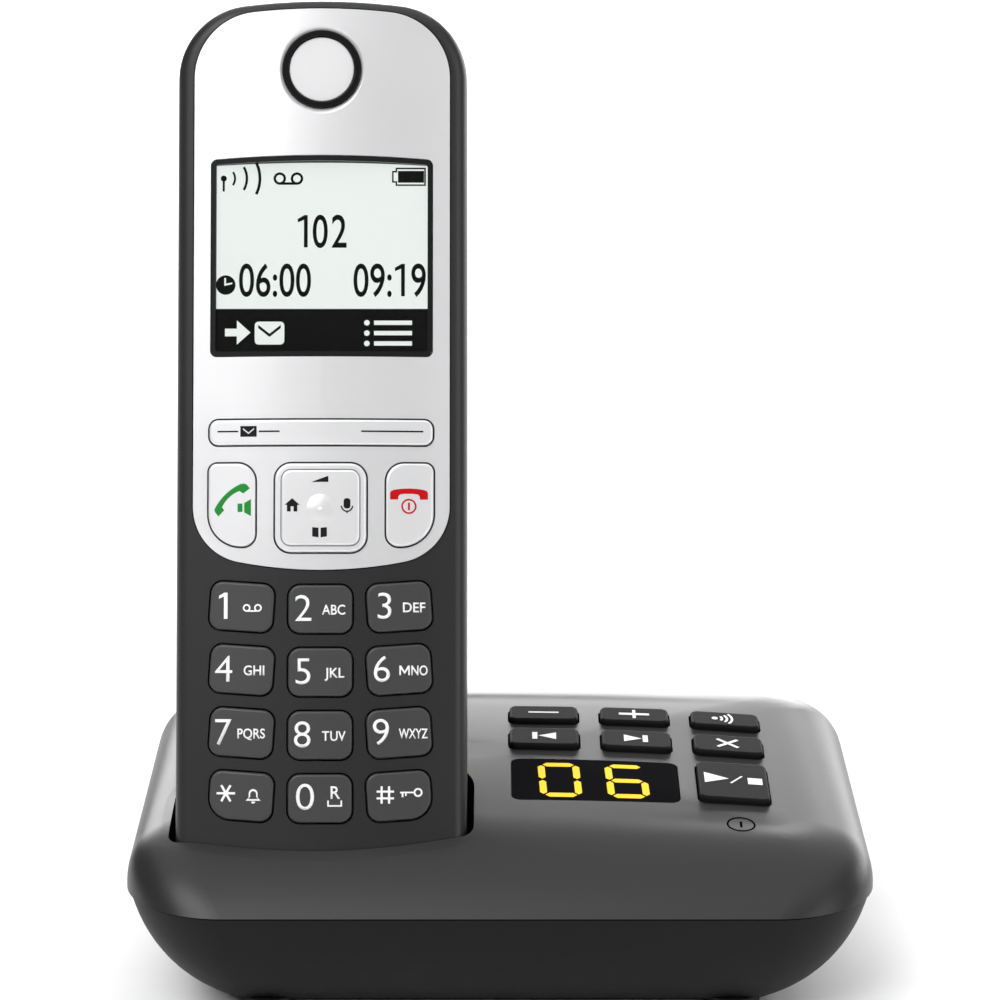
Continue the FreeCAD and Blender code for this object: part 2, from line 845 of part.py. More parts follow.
board_x = from_right("board_from_side")
board_high = size("console_from_back") - size("board_from_crown_back")
board_low = size("console_from_back") - crown_length + size("board_from_crown_front")
board_y = (board_high + board_low) / 2
boss_reach_x = size("console_board_width") / 2 - size("console_boss_margin")
boss_reach_y = (board_high - board_low) / 2 - size("console_boss_margin")
CONSOLE_BOSSES = (
    ((columns[0] + columns[1]) / 2, board_y + boss_reach_y),
    ((columns[1] + columns[2]) / 2, board_y + boss_reach_y),
    (board_x - boss_reach_x, board_y - boss_reach_y),
    (board_x + boss_reach_x, board_y - boss_reach_y),
)
board_top = size("console_mat_level") - size("mat_thickness")

case_x = from_right("case_boss_from_side")
case_back = size("base_depth") / 2 - size("case_boss_from_back")
case_front = size("base_depth") / 2 - size("base_corner_radius")
CASE_BOSSES = (
    (case_x, -case_front),
    (case_x, case_back),
    (-case_x, case_back),
)

above_all = 2 * size("seam_level") + size("rear_shoulder")
socket_face = size("base_depth") / 2 - size("socket_inset")


def socket_opening(across, width, height, gap):
    half = width / 2 + gap
    tall = height + 2 * gap
    return Part.makeBox(
        2 * half,
        size("base_depth") / 2,
        tall,
        Vector(across - half, socket_face - size("socket_depth"), size("socket_level") - tall / 2),
    )


def make_top_housing():
    shell = top_form.cut(top_cavity)
    lower_room = bowl_cavity.fuse(top_form)
    shell = shell.fuse(well_solid.common(lower_room))
    for x, y in CONSOLE_BOSSES:
        boss = moved(rod(size("console_boss_diameter") / 2, board_top, 0, x, y), console)
        shell = shell.fuse(boss.common(top_form))
    for x, y in CASE_BOSSES:
        boss = rod(size("case_boss_diameter") / 2, size("seam_level"), above_all, x, y)
        shell = shell.fuse(boss.common(top_form))
    shell = shell.cut(well_cavity)
    for _, x, y, length in BASE_KEYS:
        shell = shell.cut(key_hole(x, y, size(length)))
    recess = console_block(window_outline(size("trim_gap")), -size("base_wall") * 2, above_all)
    shell = shell.cut(recess.common(crown_layer(size("window_thickness"))))
    shell = shell.cut(console_block(window_outline(-size("window_ledge")), -size("base_wall") * 3, above_all))
    for x, y in CONSOLE_BOSSES:
        pilot = rod(
            size("board_screw_diameter") / 2 + size("screw_gap"),
            board_top,
            board_top + size("board_screw_length") - size("board_thickness") + size("screw_gap"),
            x,
            y,
        )
        shell = shell.cut(moved(pilot, console))
    pilot_top = size("case_screw_floor") + size("case_screw_length") + size("screw_gap")
    for x, y in CASE_BOSSES:
        pilot_radius = size("case_screw_diameter") / 2 + size("screw_gap")
        shell = shell.cut(rod(pilot_radius, size("seam_level"), pilot_top, x, y))
    line = ("line_socket_from_side", "line_socket_width", "line_socket_height")
    power = ("power_socket_from_side", "power_socket_width", "power_socket_height")
    for from_side, width, height in (line, power):
        across = from_right(from_side)
        hole = socket_opening(across, size(width), size(height), size("trim_gap"))
        shell = shell.cut(hole)
    return shell


half_spacing = size("contact_spacing") / 2
CONTACT_SIDES = (("left", -half_spacing), ("right", half_spacing))


def contact_slot(x, low, high, grow_x, grow_z):
    """Upright slot through the well's floor, in the handset frame."""
    return Part.makeBox(
        size("contact_thickness") + 2 * grow_x,
        high - low,
        size("contact_width") + 2 * grow_z,
        Vector(
            x - size("contact_thickness") / 2 - grow_x,
            low,
            -size("contact_depth") - size("contact_width") / 2 - grow_z,
        ),
    )


def make_slotted_top_housing():
    shell = make_top_housing()
    gap = size("contact_clearance")
    for _, x in CONTACT_SIDES:
        slot = contact_slot(x, -2 * size("well_wall"), size("well_wall"), gap, gap)
        shell = shell.cut(moved(slot, seat))
    return shell


keep_shape("base_top_housing", make_slotted_top_housing())

speaker_level = size("foot_clearance") + size("base_wall") + size("speaker_ring_height")
half_depth = size("base_depth") / 2
FEET = [
    (sign * from_right("foot_from_side"), y)
    for sign in (-1, 1)
    for y in (size("foot_from_front") - half_depth, half_depth - size("foot_from_back"))
]


def make_bottom_housing():
    shell = bowl.cut(bowl_cavity)
    groove = Part.makeBox(
        size("base_width"),
        size("base_depth"),
        size("seam_groove_height"),
        Vector(-size("base_width") / 2, -half_depth, size("seam_level") - size("seam_groove_height")),
    )
    shell = shell.cut(groove.cut(bowl_form(size("seam_groove_depth"))))
    counterbore = size("case_screw_head") / 2 + size("trim_gap")
    for x, y in CASE_BOSSES:
        tube = rod(size("case_boss_diameter") / 2 + size("well_wall") / 2, 0, size("seam_level"), x, y)
        shell = shell.fuse(tube.common(bowl))
        shell = shell.cut(rod(counterbore, 0, size("case_screw_floor"), x, y))
        shank_hole = size("case_screw_diameter") / 2 + size("trim_gap")
        shell = shell.cut(rod(shank_hole, 0, size("seam_level"), x, y))
    for x, y in FEET:
        seat_radius = size("foot_diameter") / 2 + size("trim_gap")
        foot_top = size("foot_clearance") + size("foot_inset")
        shell = shell.cut(rod(seat_radius, 0, foot_top, x, y))
    speaker = (from_right("speaker_from_side"), size("speaker_along"))
    floor = size("foot_clearance") + size("base_wall") / 2
    ring_top = speaker_level
    ring = rod(size("speaker_diameter") / 2, floor, ring_top, *speaker)
    opening = size("speaker_diameter") / 2 - size("speaker_rim")
    shell = shell.fuse(ring.cut(rod(opening, floor, ring_top, *speaker)))
    slots = int(opening / size("speaker_slot_pitch"))
    for count in range(-slots, slots + 1):
        offset = count * size("speaker_slot_pitch")
        half = math.sqrt(opening**2 - offset**2) - size("speaker_rim") / 2
        wire = rounded_outline(
            2 * half,
            size("speaker_slot_width"),
            (size("speaker_slot_width") / 2 - size("slot_end_flat"),) * 4,
            (speaker[0], speaker[1] + offset),
        )
        shell = shell.cut(prism(wire, 0, ring_top))
    return shell


keep_shape("base_bottom_housing", make_bottom_housing())


def make_feet():
    """Four moulded rubber discs with a rounded rim, one group."""
    discs = []
    height = size("foot_clearance") + size("foot_inset")
    for x, y in FEET:
        disc = rod(size("foot_diameter") / 2, 0, height, x, y)
        rim = [edge for edge in disc.Edges if edge.BoundBox.ZMax < height / 2]
        discs.append(disc.makeFillet(size("foot_clearance") / 2, rim))
    return Part.makeCompound(discs)


keep_shape("base_feet", make_feet())


def screw(diameter, head, head_height, length):
    """Pan-head screw standing head down, its seat at the origin."""
    shank = rod(diameter / 2, 0, length)
    cap = rod(head / 2, -head_height, 0)
    rim = [edge for edge in cap.Edges if edge.BoundBox.ZMax < -head_height / 2]
    cap = cap.makeFillet(head_height / 3, rim)
    slot_width = diameter / 3
    slot = Part.makeBox(
        head, slot_width, head_height / 2, Vector(-head / 2, -slot_width / 2, -head_height)
    )
    return cap.cut(slot).fuse(shank).removeSplitter()


def case_screws():
    one = screw(
        size("case_screw_diameter"),
        size("case_screw_head"),
        size("case_screw_head_height"),
        size("case_screw_length"),
    )
    floor = size("case_screw_floor")
    places = [Placement(Vector(x, y, floor), Rotation()) for x, y in CASE_BOSSES]
    return Part.makeCompound([moved(one, place) for place in places])


keep_shape("base_case_screws", case_screws())


def board_screws():
    one = screw(
        size("board_screw_diameter"),
        size("board_screw_head"),
        size("board_screw_head_height"),
        size("board_screw_length"),
    )
    level = board_top - size("board_thickness")
    places = [Placement(Vector(x, y, level), Rotation()) for x, y in CONSOLE_BOSSES]
    return Part.makeCompound([moved(one, place) for place in places])


keep_shape("base_board_screws", board_screws(), console)


# ---------------------------------------------------------------- base, console pieces

def console_board():
    wide = size("console_board_width")
    tall = board_high - board_low
    outline = rounded_outline(wide, tall, (size("base_key_corner"),) * 4, (board_x, board_y))
    board = prism(outline, board_top - size("board_thickness"), board_top)
    for x, y in CONSOLE_BOSSES:
        hole = size("board_screw_diameter") / 2 + size("trim_gap")
        board = board.cut(rod(hole, board_top - size("board_thickness"), board_top, x, y))
    return board


keep_shape("base_circuit_board", console_board(), console)


def console_mat():
    """Silicone sheet under all seven keys, notched round the board's pillars."""
    wide = columns[2] - columns[0] + size("base_key_width")
    low = row_middle - size("middle_key_length") / 2
    high = row_back + size("back_key_length") / 2
    corners = (size("console_mat_corner"),) * 4
    middle_x = (columns[0] + columns[2]) / 2
    head = rounded_outline(wide, high - low, corners, (middle_x, (high + low) / 2))
    foot = size("play_key_row") - size("play_key_length") / 2
    tail = rounded_outline(
        size("base_key_width"), row_middle - foot, corners, (columns[2], (row_middle + foot) / 2)
    )
    top = size("console_mat_level")
    sheet_top = prism(head, board_top, top).fuse(prism(tail, board_top, top)).removeSplitter()
    for x, y in CONSOLE_BOSSES:
        notch = size("console_boss_diameter") / 2 + size("base_key_gap")
        sheet_top = sheet_top.cut(rod(notch, board_top, top, x, y))
    return sheet_top


keep_shape("base_key_mat", console_mat(), console)


def base_key(label, x, y, length):
    """Square-edged cap padded from a sketch, with a plunger that reaches down towards the mat."""
    body = doc.addObject("PartDesign::Body", label + "_body")
    outline = sketch_rounded_rectangle(
        body, "Cap", "Sizes.base_key_width", f"Sizes.{length}", "Sizes.base_key_corner"
    )
    cap = pad(body, outline, "Sizes.base_key_height", "CapPad")
    cap = round_end(body, cap, "Sizes.base_key_edge")
    frame = key_frame(x, y)
    upright = console_normal.dot(frame.Rotation.multVec(Z_AXIS))
    foot = size("base_key_proud") - size("base_key_height")
    foot_level = on_console(x, y).z + foot * upright
    plunger_end = size("console_mat_level") + size("base_key_travel") + size("press_gap")
    lean_drop = size("base_stem_diameter") / 2 * math.tan(math.acos(min(upright, 1.0)))
    stem = (foot_level - plunger_end) / upright - lean_drop
    circle = sketch_circle(body, "Plunger", "Sizes.base_stem_diameter")
    plunger = body.newObject("PartDesign::Pad", "PlungerPad")
    plunger.Profile = circle
    plunger.Length = stem
    plunger.Reversed = True
    doc.recompute()
    return keep(body, label, frame.multiply(Placement(Vector(0, 0, foot), Rotation())))


for label, x, y, length in BASE_KEYS:
    base_key(label, x, y, length)


def display_window():
    block = console_block(window_outline(), -size("base_wall") * 2, above_all)
    return block.common(crown_layer(size("window_thickness")))


keep_shape("base_display_window", display_window())


def display_module():
    """Two-digit lamp block standing on the board behind the window."""
    wide = size("display_module_width")
    deep = size("display_module_length")
    place = (window_x, size("window_along"))
    under = on_console(place[0] + wide / 2, place[1] - deep / 2).z - size("base_wall")
    outline = rounded_outline(wide, deep, (size("base_key_edge"),) * 4, place)
    return prism(outline, board_top, under - size("display_gap"))


keep_shape("base_display_module", display_module(), console)


# ---------------------------------------------------------------- base, loudspeaker and sockets

def loudspeaker(label, diameter, height, rim, placement):
    """Turned loudspeaker, cone side down: rim, basket and magnet."""
    body = doc.addObject("PartDesign::Body", label + "_body")
    sketch = new_sketch(body, "HalfSection", "XZ_Plane")
    outer = float(sketch.evalExpression(diameter)) / 2
    tall = float(sketch.evalExpression(height))
    edge = float(sketch.evalExpression(rim))
    share = size("speaker_basket_share")
    magnet = outer * share
    points = (
        (0, edge / 2),
        (outer - edge, 0),
        (outer, 0),
        (outer, edge / 2),
        (magnet, tall * share),
        (magnet, tall),
        (0, tall),
    )
    for index, start in enumerate(points):
        end = points[(index + 1) % len(points)]
        sketch.addGeometry(Part.LineSegment(Vector(*start, 0), Vector(*end, 0)), False)
    for index in range(len(points)):
        sketch.addConstraint(
            Sketcher.Constraint("Coincident", index, 2, (index + 1) % len(points), 1)
        )
    sketch.addConstraint(Sketcher.Constraint("PointOnObject", 0, 1, -2))
    sketch.addConstraint(Sketcher.Constraint("Vertical", 6))
    sketch.addConstraint(Sketcher.Constraint("Horizontal", 1))
    sketch.addConstraint(Sketcher.Constraint("Vertical", 2))
    sketch.addConstraint(Sketcher.Constraint("Vertical", 4))
    sketch.addConstraint(Sketcher.Constraint("Horizontal", 5))
    sketch.addConstraint(Sketcher.Constraint("PointOnObject", 2, 1, -1))
    sketch.addConstraint(Sketcher.Constraint("DistanceY", -1, 1, 0, 1, edge / 2))
    bind(sketch, "sink", f"{rim} / 2")
    sketch.addConstraint(Sketcher.Constraint("DistanceX", -1, 1, 2, 1, outer))
    bind(sketch, "outer", f"{diameter} / 2")
    sketch.addConstraint(Sketcher.Constraint("DistanceX", 1, 1, 1, 2, edge))
    bind(sketch, "rim", rim)
    sketch.addConstraint(Sketcher.Constraint("DistanceY", 2, 1, 2, 2, edge / 2))
    bind(sketch, "rim_height", f"{rim} / 2")
    sketch.addConstraint(Sketcher.Constraint("DistanceX", -1, 1, 4, 1, magnet))
    bind(sketch, "magnet", f"{diameter} / 2 * Sizes.speaker_basket_share")
    sketch.addConstraint(Sketcher.Constraint("DistanceY", -1, 1, 4, 1, tall * share))
    bind(sketch, "basket", f"{height} * Sizes.speaker_basket_share")
    sketch.addConstraint(Sketcher.Constraint("DistanceY", -1, 1, 5, 1, tall))
    bind(sketch, "height", height)
    turned = body.newObject("PartDesign::Revolution", "Turned")
    turned.Profile = sketch
    turned.ReferenceAxis = (sketch, ["V_Axis"])
    turned.Angle = 360
    doc.recompute()
    return keep(body, label, placement)


loudspeaker(
    "base_loudspeaker",
    "Sizes.speaker_diameter",
    "Sizes.speaker_height",
    "Sizes.speaker_rim",
    Placement(
        Vector(from_right("speaker_from_side"), size("speaker_along"), speaker_level), Rotation()
    ),
)


def line_socket():
    """Modular telephone socket: a keyed square hole with its contact comb."""
    wide = size("line_socket_width")
    tall = size("line_socket_height")
    level = size("socket_level")
    x = from_right("line_socket_from_side")
    front = socket_face - size("socket_depth")
    block = Part.makeBox(wide, size("socket_depth"), tall, Vector(x - wide / 2, front, level - tall / 2))
    open_w = size("line_socket_opening_width")
    open_h = size("line_socket_opening_height")
    mouth = socket_face - size("socket_cavity_depth")
    cavity = Part.makeBox(
        open_w, size("socket_cavity_depth"), open_h, Vector(x - open_w / 2, mouth, level - open_h / 2)
    )
    key_w = open_w / 2
    keyway = Part.makeBox(
        key_w,
        size("socket_cavity_depth"),
        tall / 2 - size("base_wall") / 2,
        Vector(x - key_w / 2, mouth, level - tall / 2 + size("base_wall") / 2),
    )
    return block.cut(cavity).cut(keyway)


keep_shape("line_socket", line_socket())


def power_socket():
    """Round low-voltage socket with its centre pin."""
    wide = size("power_socket_width")
    tall = size("power_socket_height")
    level = size("socket_level")
    x = from_right("power_socket_from_side")
    front = socket_face - size("socket_depth")
    block = Part.makeBox(wide, size("socket_depth"), tall, Vector(x - wide / 2, front, level - tall / 2))
    mouth = Vector(x, socket_face, level)
    bore = Part.makeCylinder(
        size("power_socket_opening") / 2, size("socket_cavity_depth"), mouth, -Y_AXIS
    )
    pin_length = size("socket_cavity_depth") - size("base_wall")
    pin_root = Vector(x, socket_face - size("socket_cavity_depth"), level)
    pin = Part.makeCylinder(size("power_socket_pin") / 2, pin_length, pin_root, Y_AXIS)
    return block.cut(bore).fuse(pin)


keep_shape("power_socket", power_socket())


# ---------------------------------------------------------------- charging contacts

def contact_blade(x):
    """Flat blade with a rounded tip that stands through the well's floor."""
    tip = size("contact_engagement")
    blade = contact_slot(x, tip - size("contact_height"), tip, 0, 0)
    crest = [
        edge
        for edge in blade.Edges
        if edge.BoundBox.YMin > tip - 1e-6 and edge.BoundBox.ZLength > size("contact_thickness") * 2
    ]
    return blade.makeFillet(size("contact_thickness") * 0.4, crest)


for side, x in CONTACT_SIDES:
    keep_shape(f"charging_contact_{side}", contact_blade(x), seat)


def contact_carrier():
    """Moulded block under the well's floor that guides both blades."""
    wide = size("carrier_width")
    deep = size("carrier_depth")
    top = -size("well_wall")
    block = Part.makeBox(
        wide,
        size("carrier_height"),
        deep,
        Vector(-wide / 2, top - size("carrier_height"), -size("contact_depth") - deep / 2),
    )
    gap = size("contact_clearance")
    bottom = size("contact_engagement") - size("contact_height") - size("contact_travel") - gap
    for _, x in CONTACT_SIDES:
        block = block.cut(contact_slot(x, bottom, 0, gap, gap))
    return block


keep_shape("charging_contact_carrier", contact_carrier(), seat)


# ---------------------------------------------------------------- handset housings

outer_form = handset_form()
inner_form = handset_form(size("handset_wall"))
far_back = -2 * size("thickness_middle")
key_bottom = size("key_proud") - size("key_depth")


def face_layer(wire, top, bottom):
    """Piece of an outline between two offsets of the curved face."""
    block = prism(wire, far_back, size("key_depth"))
    return block.common(face_cylinder(top)).cut(face_cylinder(bottom))


def plate_outline(grow=0.0):
    return arched_outline(
        size("plate_width") / 2 + grow,
        size("plate_bottom") - grow,
        size("plate_top") + grow,
        size("plate_top_arch") + grow,
        size("plate_top_corner") + grow,
        size("plate_bottom_arch") + grow,
        size("plate_bottom_corner") + grow,
    )


def lens_outline(grow=0.0):
    corner = size("lens_corner") + grow
    return arched_outline(
        size("lens_width") / 2 + grow,
        size("lens_bottom") - grow,
        size("lens_top") + grow,
        size("lens_top_arch") + grow,
        corner,
        None,
        corner,
    )


def rocker_outline(grow=0.0):
    corner = size("rocker_corner") + grow
    return rounded_outline(
        size("rocker_width") + 2 * grow,
        size("rocker_length") + 2 * grow,
        (corner,) * 4,
        (0, size("rocker_level")),
    )


def side_key_outline(side, grow=0.0):
    low_outer = size("side_key_low_corner") + grow
    low_inner = size("side_key_inner_low_corner") + grow
    high_inner = size("side_key_inner_corner") + grow
    high_outer = size("side_key_corner") + grow
    left_key = (low_outer, low_inner, high_inner, high_outer)
    right_key = (low_inner, low_outer, high_outer, high_inner)
    radii = left_key if side < 0 else right_key
    return rounded_outline(
        size("side_key_width") + 2 * grow,
        size("side_key_length") + 2 * grow,
        radii,
        (side * size("side_key_across"), size("side_key_level")),
    )


def control_outline(grow=0.0):
    corner = size("control_corner") + grow
    return rounded_outline(
        size("control_width") + 2 * grow,
        size("control_length") + 2 * grow,
        (corner,) * 4,
        (0, size("control_level")),
    )


DIGIT_NAMES = (
    ("one", "two", "three"),
    ("four", "five", "six"),
    ("seven", "eight", "nine"),
    ("star", "zero", "hash"),
)


def digit_key_outline(row, column, grow=0.0):
    """Outline of a dialling key; the outer columns are turned and the low outer corners are full."""
    side = column - 1
    radii = [size("key_corner") + grow] * 4
    if row == len(DIGIT_NAMES) - 1 and side:
        radii[0 if side < 0 else 1] = size("key_outer_corner") + grow
    level = size("key_row_top") - row * size("key_pitch")
    if side == 0:
        level -= size("key_middle_drop")
    return rounded_outline(
        size("key_width") + 2 * grow,
        size("key_length") + 2 * grow,
        radii,
        (side * size("key_column"), level),
        side * size("key_tilt"),
    )


DIGIT_KEYS = [
    (f"key_{name}", row, column)
    for row, names in enumerate(DIGIT_NAMES)
    for column, name in enumerate(names)
]

INNER_BOSSES = [
    (side * size("inner_boss_across"), size(level))
    for side in (-1, 1)
    for level in ("inner_boss_low", "inner_boss_middle", "inner_boss_high")
]
inner_board_top = size("mat_level") - size("mat_thickness")
inner_board_bottom = inner_board_top - size("inner_board_thickness")
inner_board_middle = (size("inner_board_top") + size("inner_board_bottom")) / 2


def half_space(front):
    """Everything in front of the parting line of the handset, or everything behind it."""
    reach = size("handset_width")
    length = size("handset_length")
    depth = size("parting_depth") + (0 if front else size("parting_gap"))
    box = Part.makeBox(2 * reach, 2 * length, 2 * reach, Vector(-reach, -length / 2, -depth))
    if not front:
        box.translate(Vector(0, 0, -2 * reach))
    return box


mat_top_level = size("mat_level")
inner_screw_bite = size("inner_screw_bite")


def make_front_housing():
    shell = outer_form.cut(inner_form).common(half_space(True))
    for x, y in INNER_BOSSES:
        boss = rod(size("inner_boss_diameter") / 2, inner_board_top, 0, x, y)
        shell = shell.fuse(boss.common(face_cylinder(-size("handset_wall") * 0.75)))
    shell = shell.cut(face_layer(plate_outline(size("plate_gap")), 1, -size("plate_thickness")))
    through = [
        lens_outline(-size("lens_ledge")),
        rocker_outline(size("key_gap")),
        side_key_outline(-1, size("key_gap")),
        side_key_outline(1, size("key_gap")),
        control_outline(size("key_gap")),
    ]
    for name, row, column in DIGIT_KEYS:
        through.append(digit_key_outline(row, column, size("key_gap")))
    for wire in through:
        shell = shell.cut(prism(wire, inner_board_top + size("mat_thickness") / 2, 1))
    hole = size("sound_hole_diameter") / 2
    spread = size("earpiece_ring_opening") / 4
    for x, y in ((0, 0), (-spread, 0), (spread, 0), (0, -spread), (0, spread)):
        shell = shell.cut(rod(hole, -size("parting_depth"), 1, x, size("earpiece_level") + y))
    shell = shell.cut(rod(hole / 2, mat_top_level, 1, 0, size("microphone_level")))
    pilot = size("board_screw_diameter") / 2 + size("screw_gap")
    for x, y in INNER_BOSSES:
        shell = shell.cut(rod(pilot, inner_board_top, inner_board_top + inner_screw_bite, x, y))
    return shell


keep_shape("handset_front_housing", make_front_housing(), seat)

door_middle = (size("door_top") + size("door_bottom")) / 2
door_length = size("door_top") - size("door_bottom")


def door_outline(grow=0.0):
    corner = size("door_corner") + grow
    return rounded_outline(
        size("door_width") + 2 * grow, door_length + 2 * grow, (corner,) * 4, (0, door_middle)
    )


tray_half = size("cell_diameter") + size("cell_gap") * 1.5
tray_middle = (size("tray_bottom") + size("tray_top")) / 2
tray_length = size("tray_top") - size("tray_bottom")


def box_on(width, length, bottom, top, middle_y, x=0.0):
    """Box by its width and length about a middle, between two depths."""
    return Part.makeBox(
        width, length, top - bottom, Vector(x - width / 2, middle_y - length / 2, bottom)
    )


def speaker_slots(bottom, top):
    slots = []
    reach = size("handset_speaker_diameter") / 2 - size("speaker_rim")
    pitch = size("speaker_slot_pitch")
    count = int(reach / pitch)
    for step in range(-count, count + 1):
        offset = step * pitch
        half = math.sqrt(reach**2 - offset**2)
        wire = rounded_outline(
            2 * half,
            size("speaker_slot_width"),
            (size("speaker_slot_width") / 2 - size("slot_end_flat"),) * 4,
            (0, size("handset_speaker_level") + offset),
        )
        slots.append(prism(wire, bottom, top))
    return slots


def make_rear_housing():
    shell = outer_form.cut(inner_form).common(half_space(False))
    wall = size("tray_wall")
    tray_floor = size("tray_level")
    outside = box_on(
        2 * (tray_half + wall), tray_length + 2 * wall, far_back, tray_floor + wall, tray_middle
    )
    shell = shell.fuse(outside.common(inner_form))
    above = inner_form.copy()
    above.translate(Z_AXIS * wall)
    rim = prism(door_outline(size("door_ledge")), far_back, tray_floor - size("cell_diameter") / 2)
    shell = shell.fuse(rim.common(inner_form).cut(above))
    room = box_on(2 * tray_half, tray_length, far_back, tray_floor, tray_middle)
    shell = shell.cut(room)
    door_way = prism(door_outline(size("door_gap")), far_back, tray_floor - size("cell_diameter") / 2)
    shell = shell.cut(door_way.cut(inner_form))
    for slot in speaker_slots(far_back, -size("handset_speaker_height") - size("parting_depth")):
        shell = shell.cut(slot)
    for _, x in CONTACT_SIDES:
        shell = shell.cut(pad_slot(x, size("pad_gap"), -1, size("handset_wall") + 1))
    return shell


def pad_slot(x, grow, low, high):
    """Block of the charging pad's section along the handset, for the pad and for its slot."""
    wide = size("pad_width") + 2 * grow
    deep = size("pad_length") + 2 * grow
    return Part.makeBox(
        wide, high - low, deep, Vector(x - wide / 2, low, -size("contact_depth") - deep / 2)
    )


keep_shape("handset_rear_housing", make_rear_housing(), seat)


def battery_door():
    """Piece of the back wall that lifts off, with three grip ribs near its top."""
    inside = size("tray_level") - size("cell_diameter") / 2
    door = prism(door_outline(), far_back, inside).common(outer_form.cut(inner_form))
    raised = outer_form.copy()
    raised.translate(Z_AXIS * -size("door_grip_proud"))
    raised = raised.cut(inner_form)
    rib_corner = size("door_grip_rib") / 2 - size("slot_end_flat")
    for count in range(3):
        level = size("door_top") - size("door_grip_from_top") - count * size("door_grip_pitch")
        wire = rounded_outline(
            size("door_grip_width"), size("door_grip_rib"), (rib_corner,) * 4, (0, level)
        )
        door = door.fuse(prism(wire, far_back, inside).common(raised))
    return door.removeSplitter()


keep_shape("battery_door", battery_door(), seat)


def charging_pads():
    top = size("pad_recess") + size("pad_thickness")
    pads = [pad_slot(x, 0, size("pad_recess"), top) for _, x in CONTACT_SIDES]
    return Part.makeCompound(pads)


keep_shape("charging_pads", charging_pads(), seat)


# ---------------------------------------------------------------- handset face

def make_faceplate():
    plate = face_layer(plate_outline(), 0, -size("plate_thickness"))
    openings = [
        lens_outline(size("trim_gap")),
        rocker_outline(size("key_gap")),
        side_key_outline(-1, size("key_gap")),
        side_key_outline(1, size("key_gap")),
        control_outline(size("key_gap")),
    ]
    for wire in openings:
        plate = plate.cut(prism(wire, -size("parting_depth"), 1))
    ring_seat = size("earpiece_ring_diameter") / 2 + size("trim_gap")
    depth = size("earpiece_dish_depth")
    foot = Vector(0, size("earpiece_level"), -depth)
    dish = Part.makeCone(ring_seat, ring_seat + size("earpiece_dish_width"), depth, foot)
    plate = plate.cut(dish)
    return plate.cut(rod(ring_seat, -size("parting_depth"), 1, 0, size("earpiece_level")))


keep_shape("faceplate", make_faceplate(), seat)
keep_shape("display_lens", face_layer(lens_outline(), 0, -size("plate_thickness")), seat)


def turned_disc(label, outer, opening, bottom, top):
    """Flat ring or disc padded from a sketch, in the handset frame at the earpiece."""
    body = doc.addObject("PartDesign::Body", label + "_body")
    outline = sketch_circle(body, "Outline", outer)
    disc = pad(body, outline, f"{top} - ({bottom})", "Disc")
    if opening:
        inner = sketch_circle(body, "Opening", opening)
        hole = body.newObject("PartDesign::Pocket", "Hole")
        hole.Profile = inner
        hole.Type = 1
        hole.Reversed = True
        doc.recompute()
    disc = round_end(body, body.Tip, "Sizes.earpiece_ring_proud * 0.6")
    level = float(disc.evalExpression(bottom))
    place = Placement(Vector(0, size("earpiece_level"), level), Rotation())
    return keep(body, label, seat.multiply(place))


turned_disc(
    "earpiece_ring",
    "Sizes.earpiece_ring_diameter",
    "Sizes.earpiece_ring_opening",
    "-Sizes.plate_thickness",
    "Sizes.earpiece_ring_proud",
)
turned_disc(
    "earpiece_disc",
    "Sizes.earpiece_ring_opening - 2 * Sizes.trim_gap",
    None,
    "-Sizes.plate_thickness",
    "-Sizes.plate_thickness + Sizes.earpiece_disc_thickness",
)
loudspeaker(
    "earpiece_speaker",
    "Sizes.earpiece_speaker_diameter",
    "Sizes.earpiece_speaker_height",
    "Sizes.earpiece_disc_thickness * 2",
    seat.multiply(
        Placement(
            Vector(0, size("earpiece_level"), -size("handset_wall") - 2 * size("panel_gap")),
            Rotation(X_AXIS, 180),
        )
    ),
)


# ---------------------------------------------------------------- handset keys

def round_top(shape, radius, offset):
    """Round the edges that lie on the outermost face of a curved key."""
    outer = face_cylinder(offset)
    edges = [
        edge
        for edge in shape.Edges
        if outer.Faces[0].distToShape(edge)[0] < 1e-5
        and abs(height_of(edge, offset)) < 1e-4
    ]
    return shape.makeFillet(radius, edges)


def height_of(edge, offset):
    """How far an edge's middle lies above the curved face grown by offset."""
    point = edge.valueAt((edge.FirstParameter + edge.LastParameter) / 2)
    return math.hypot(point.x, point.z + size("face_radius")) - size("face_radius") - offset


def key_cap(wire, proud, stem_at=None):
    """Curved key that follows the face, with a plunger to just above the mat."""
    cap = round_top(face_layer(wire, proud, key_bottom), size("key_edge"), proud)
    if stem_at is None:
        return cap
    plunger_end = size("mat_level") + size("key_travel") + size("press_gap")
    stem = rod(size("key_stem_diameter") / 2, plunger_end, 0, *stem_at)
    return cap.fuse(stem.common(face_cylinder(key_bottom / 2)))


for name, row, column in DIGIT_KEYS:
    wire = digit_key_outline(row, column)
    centre = wire.BoundBox.Center
    keep_shape(name, key_cap(wire, size("key_proud"), (centre.x, centre.y)), seat)

for label, side in (("talk_key", -1), ("end_key", 1)):
    wire = side_key_outline(side)
    stem_place = (side * size("side_key_across"), size("side_key_level"))
    keep_shape(label, key_cap(wire, size("key_proud"), stem_place), seat)

keep_shape("soft_key_bar", key_cap(rocker_outline(), size("key_proud")), seat)


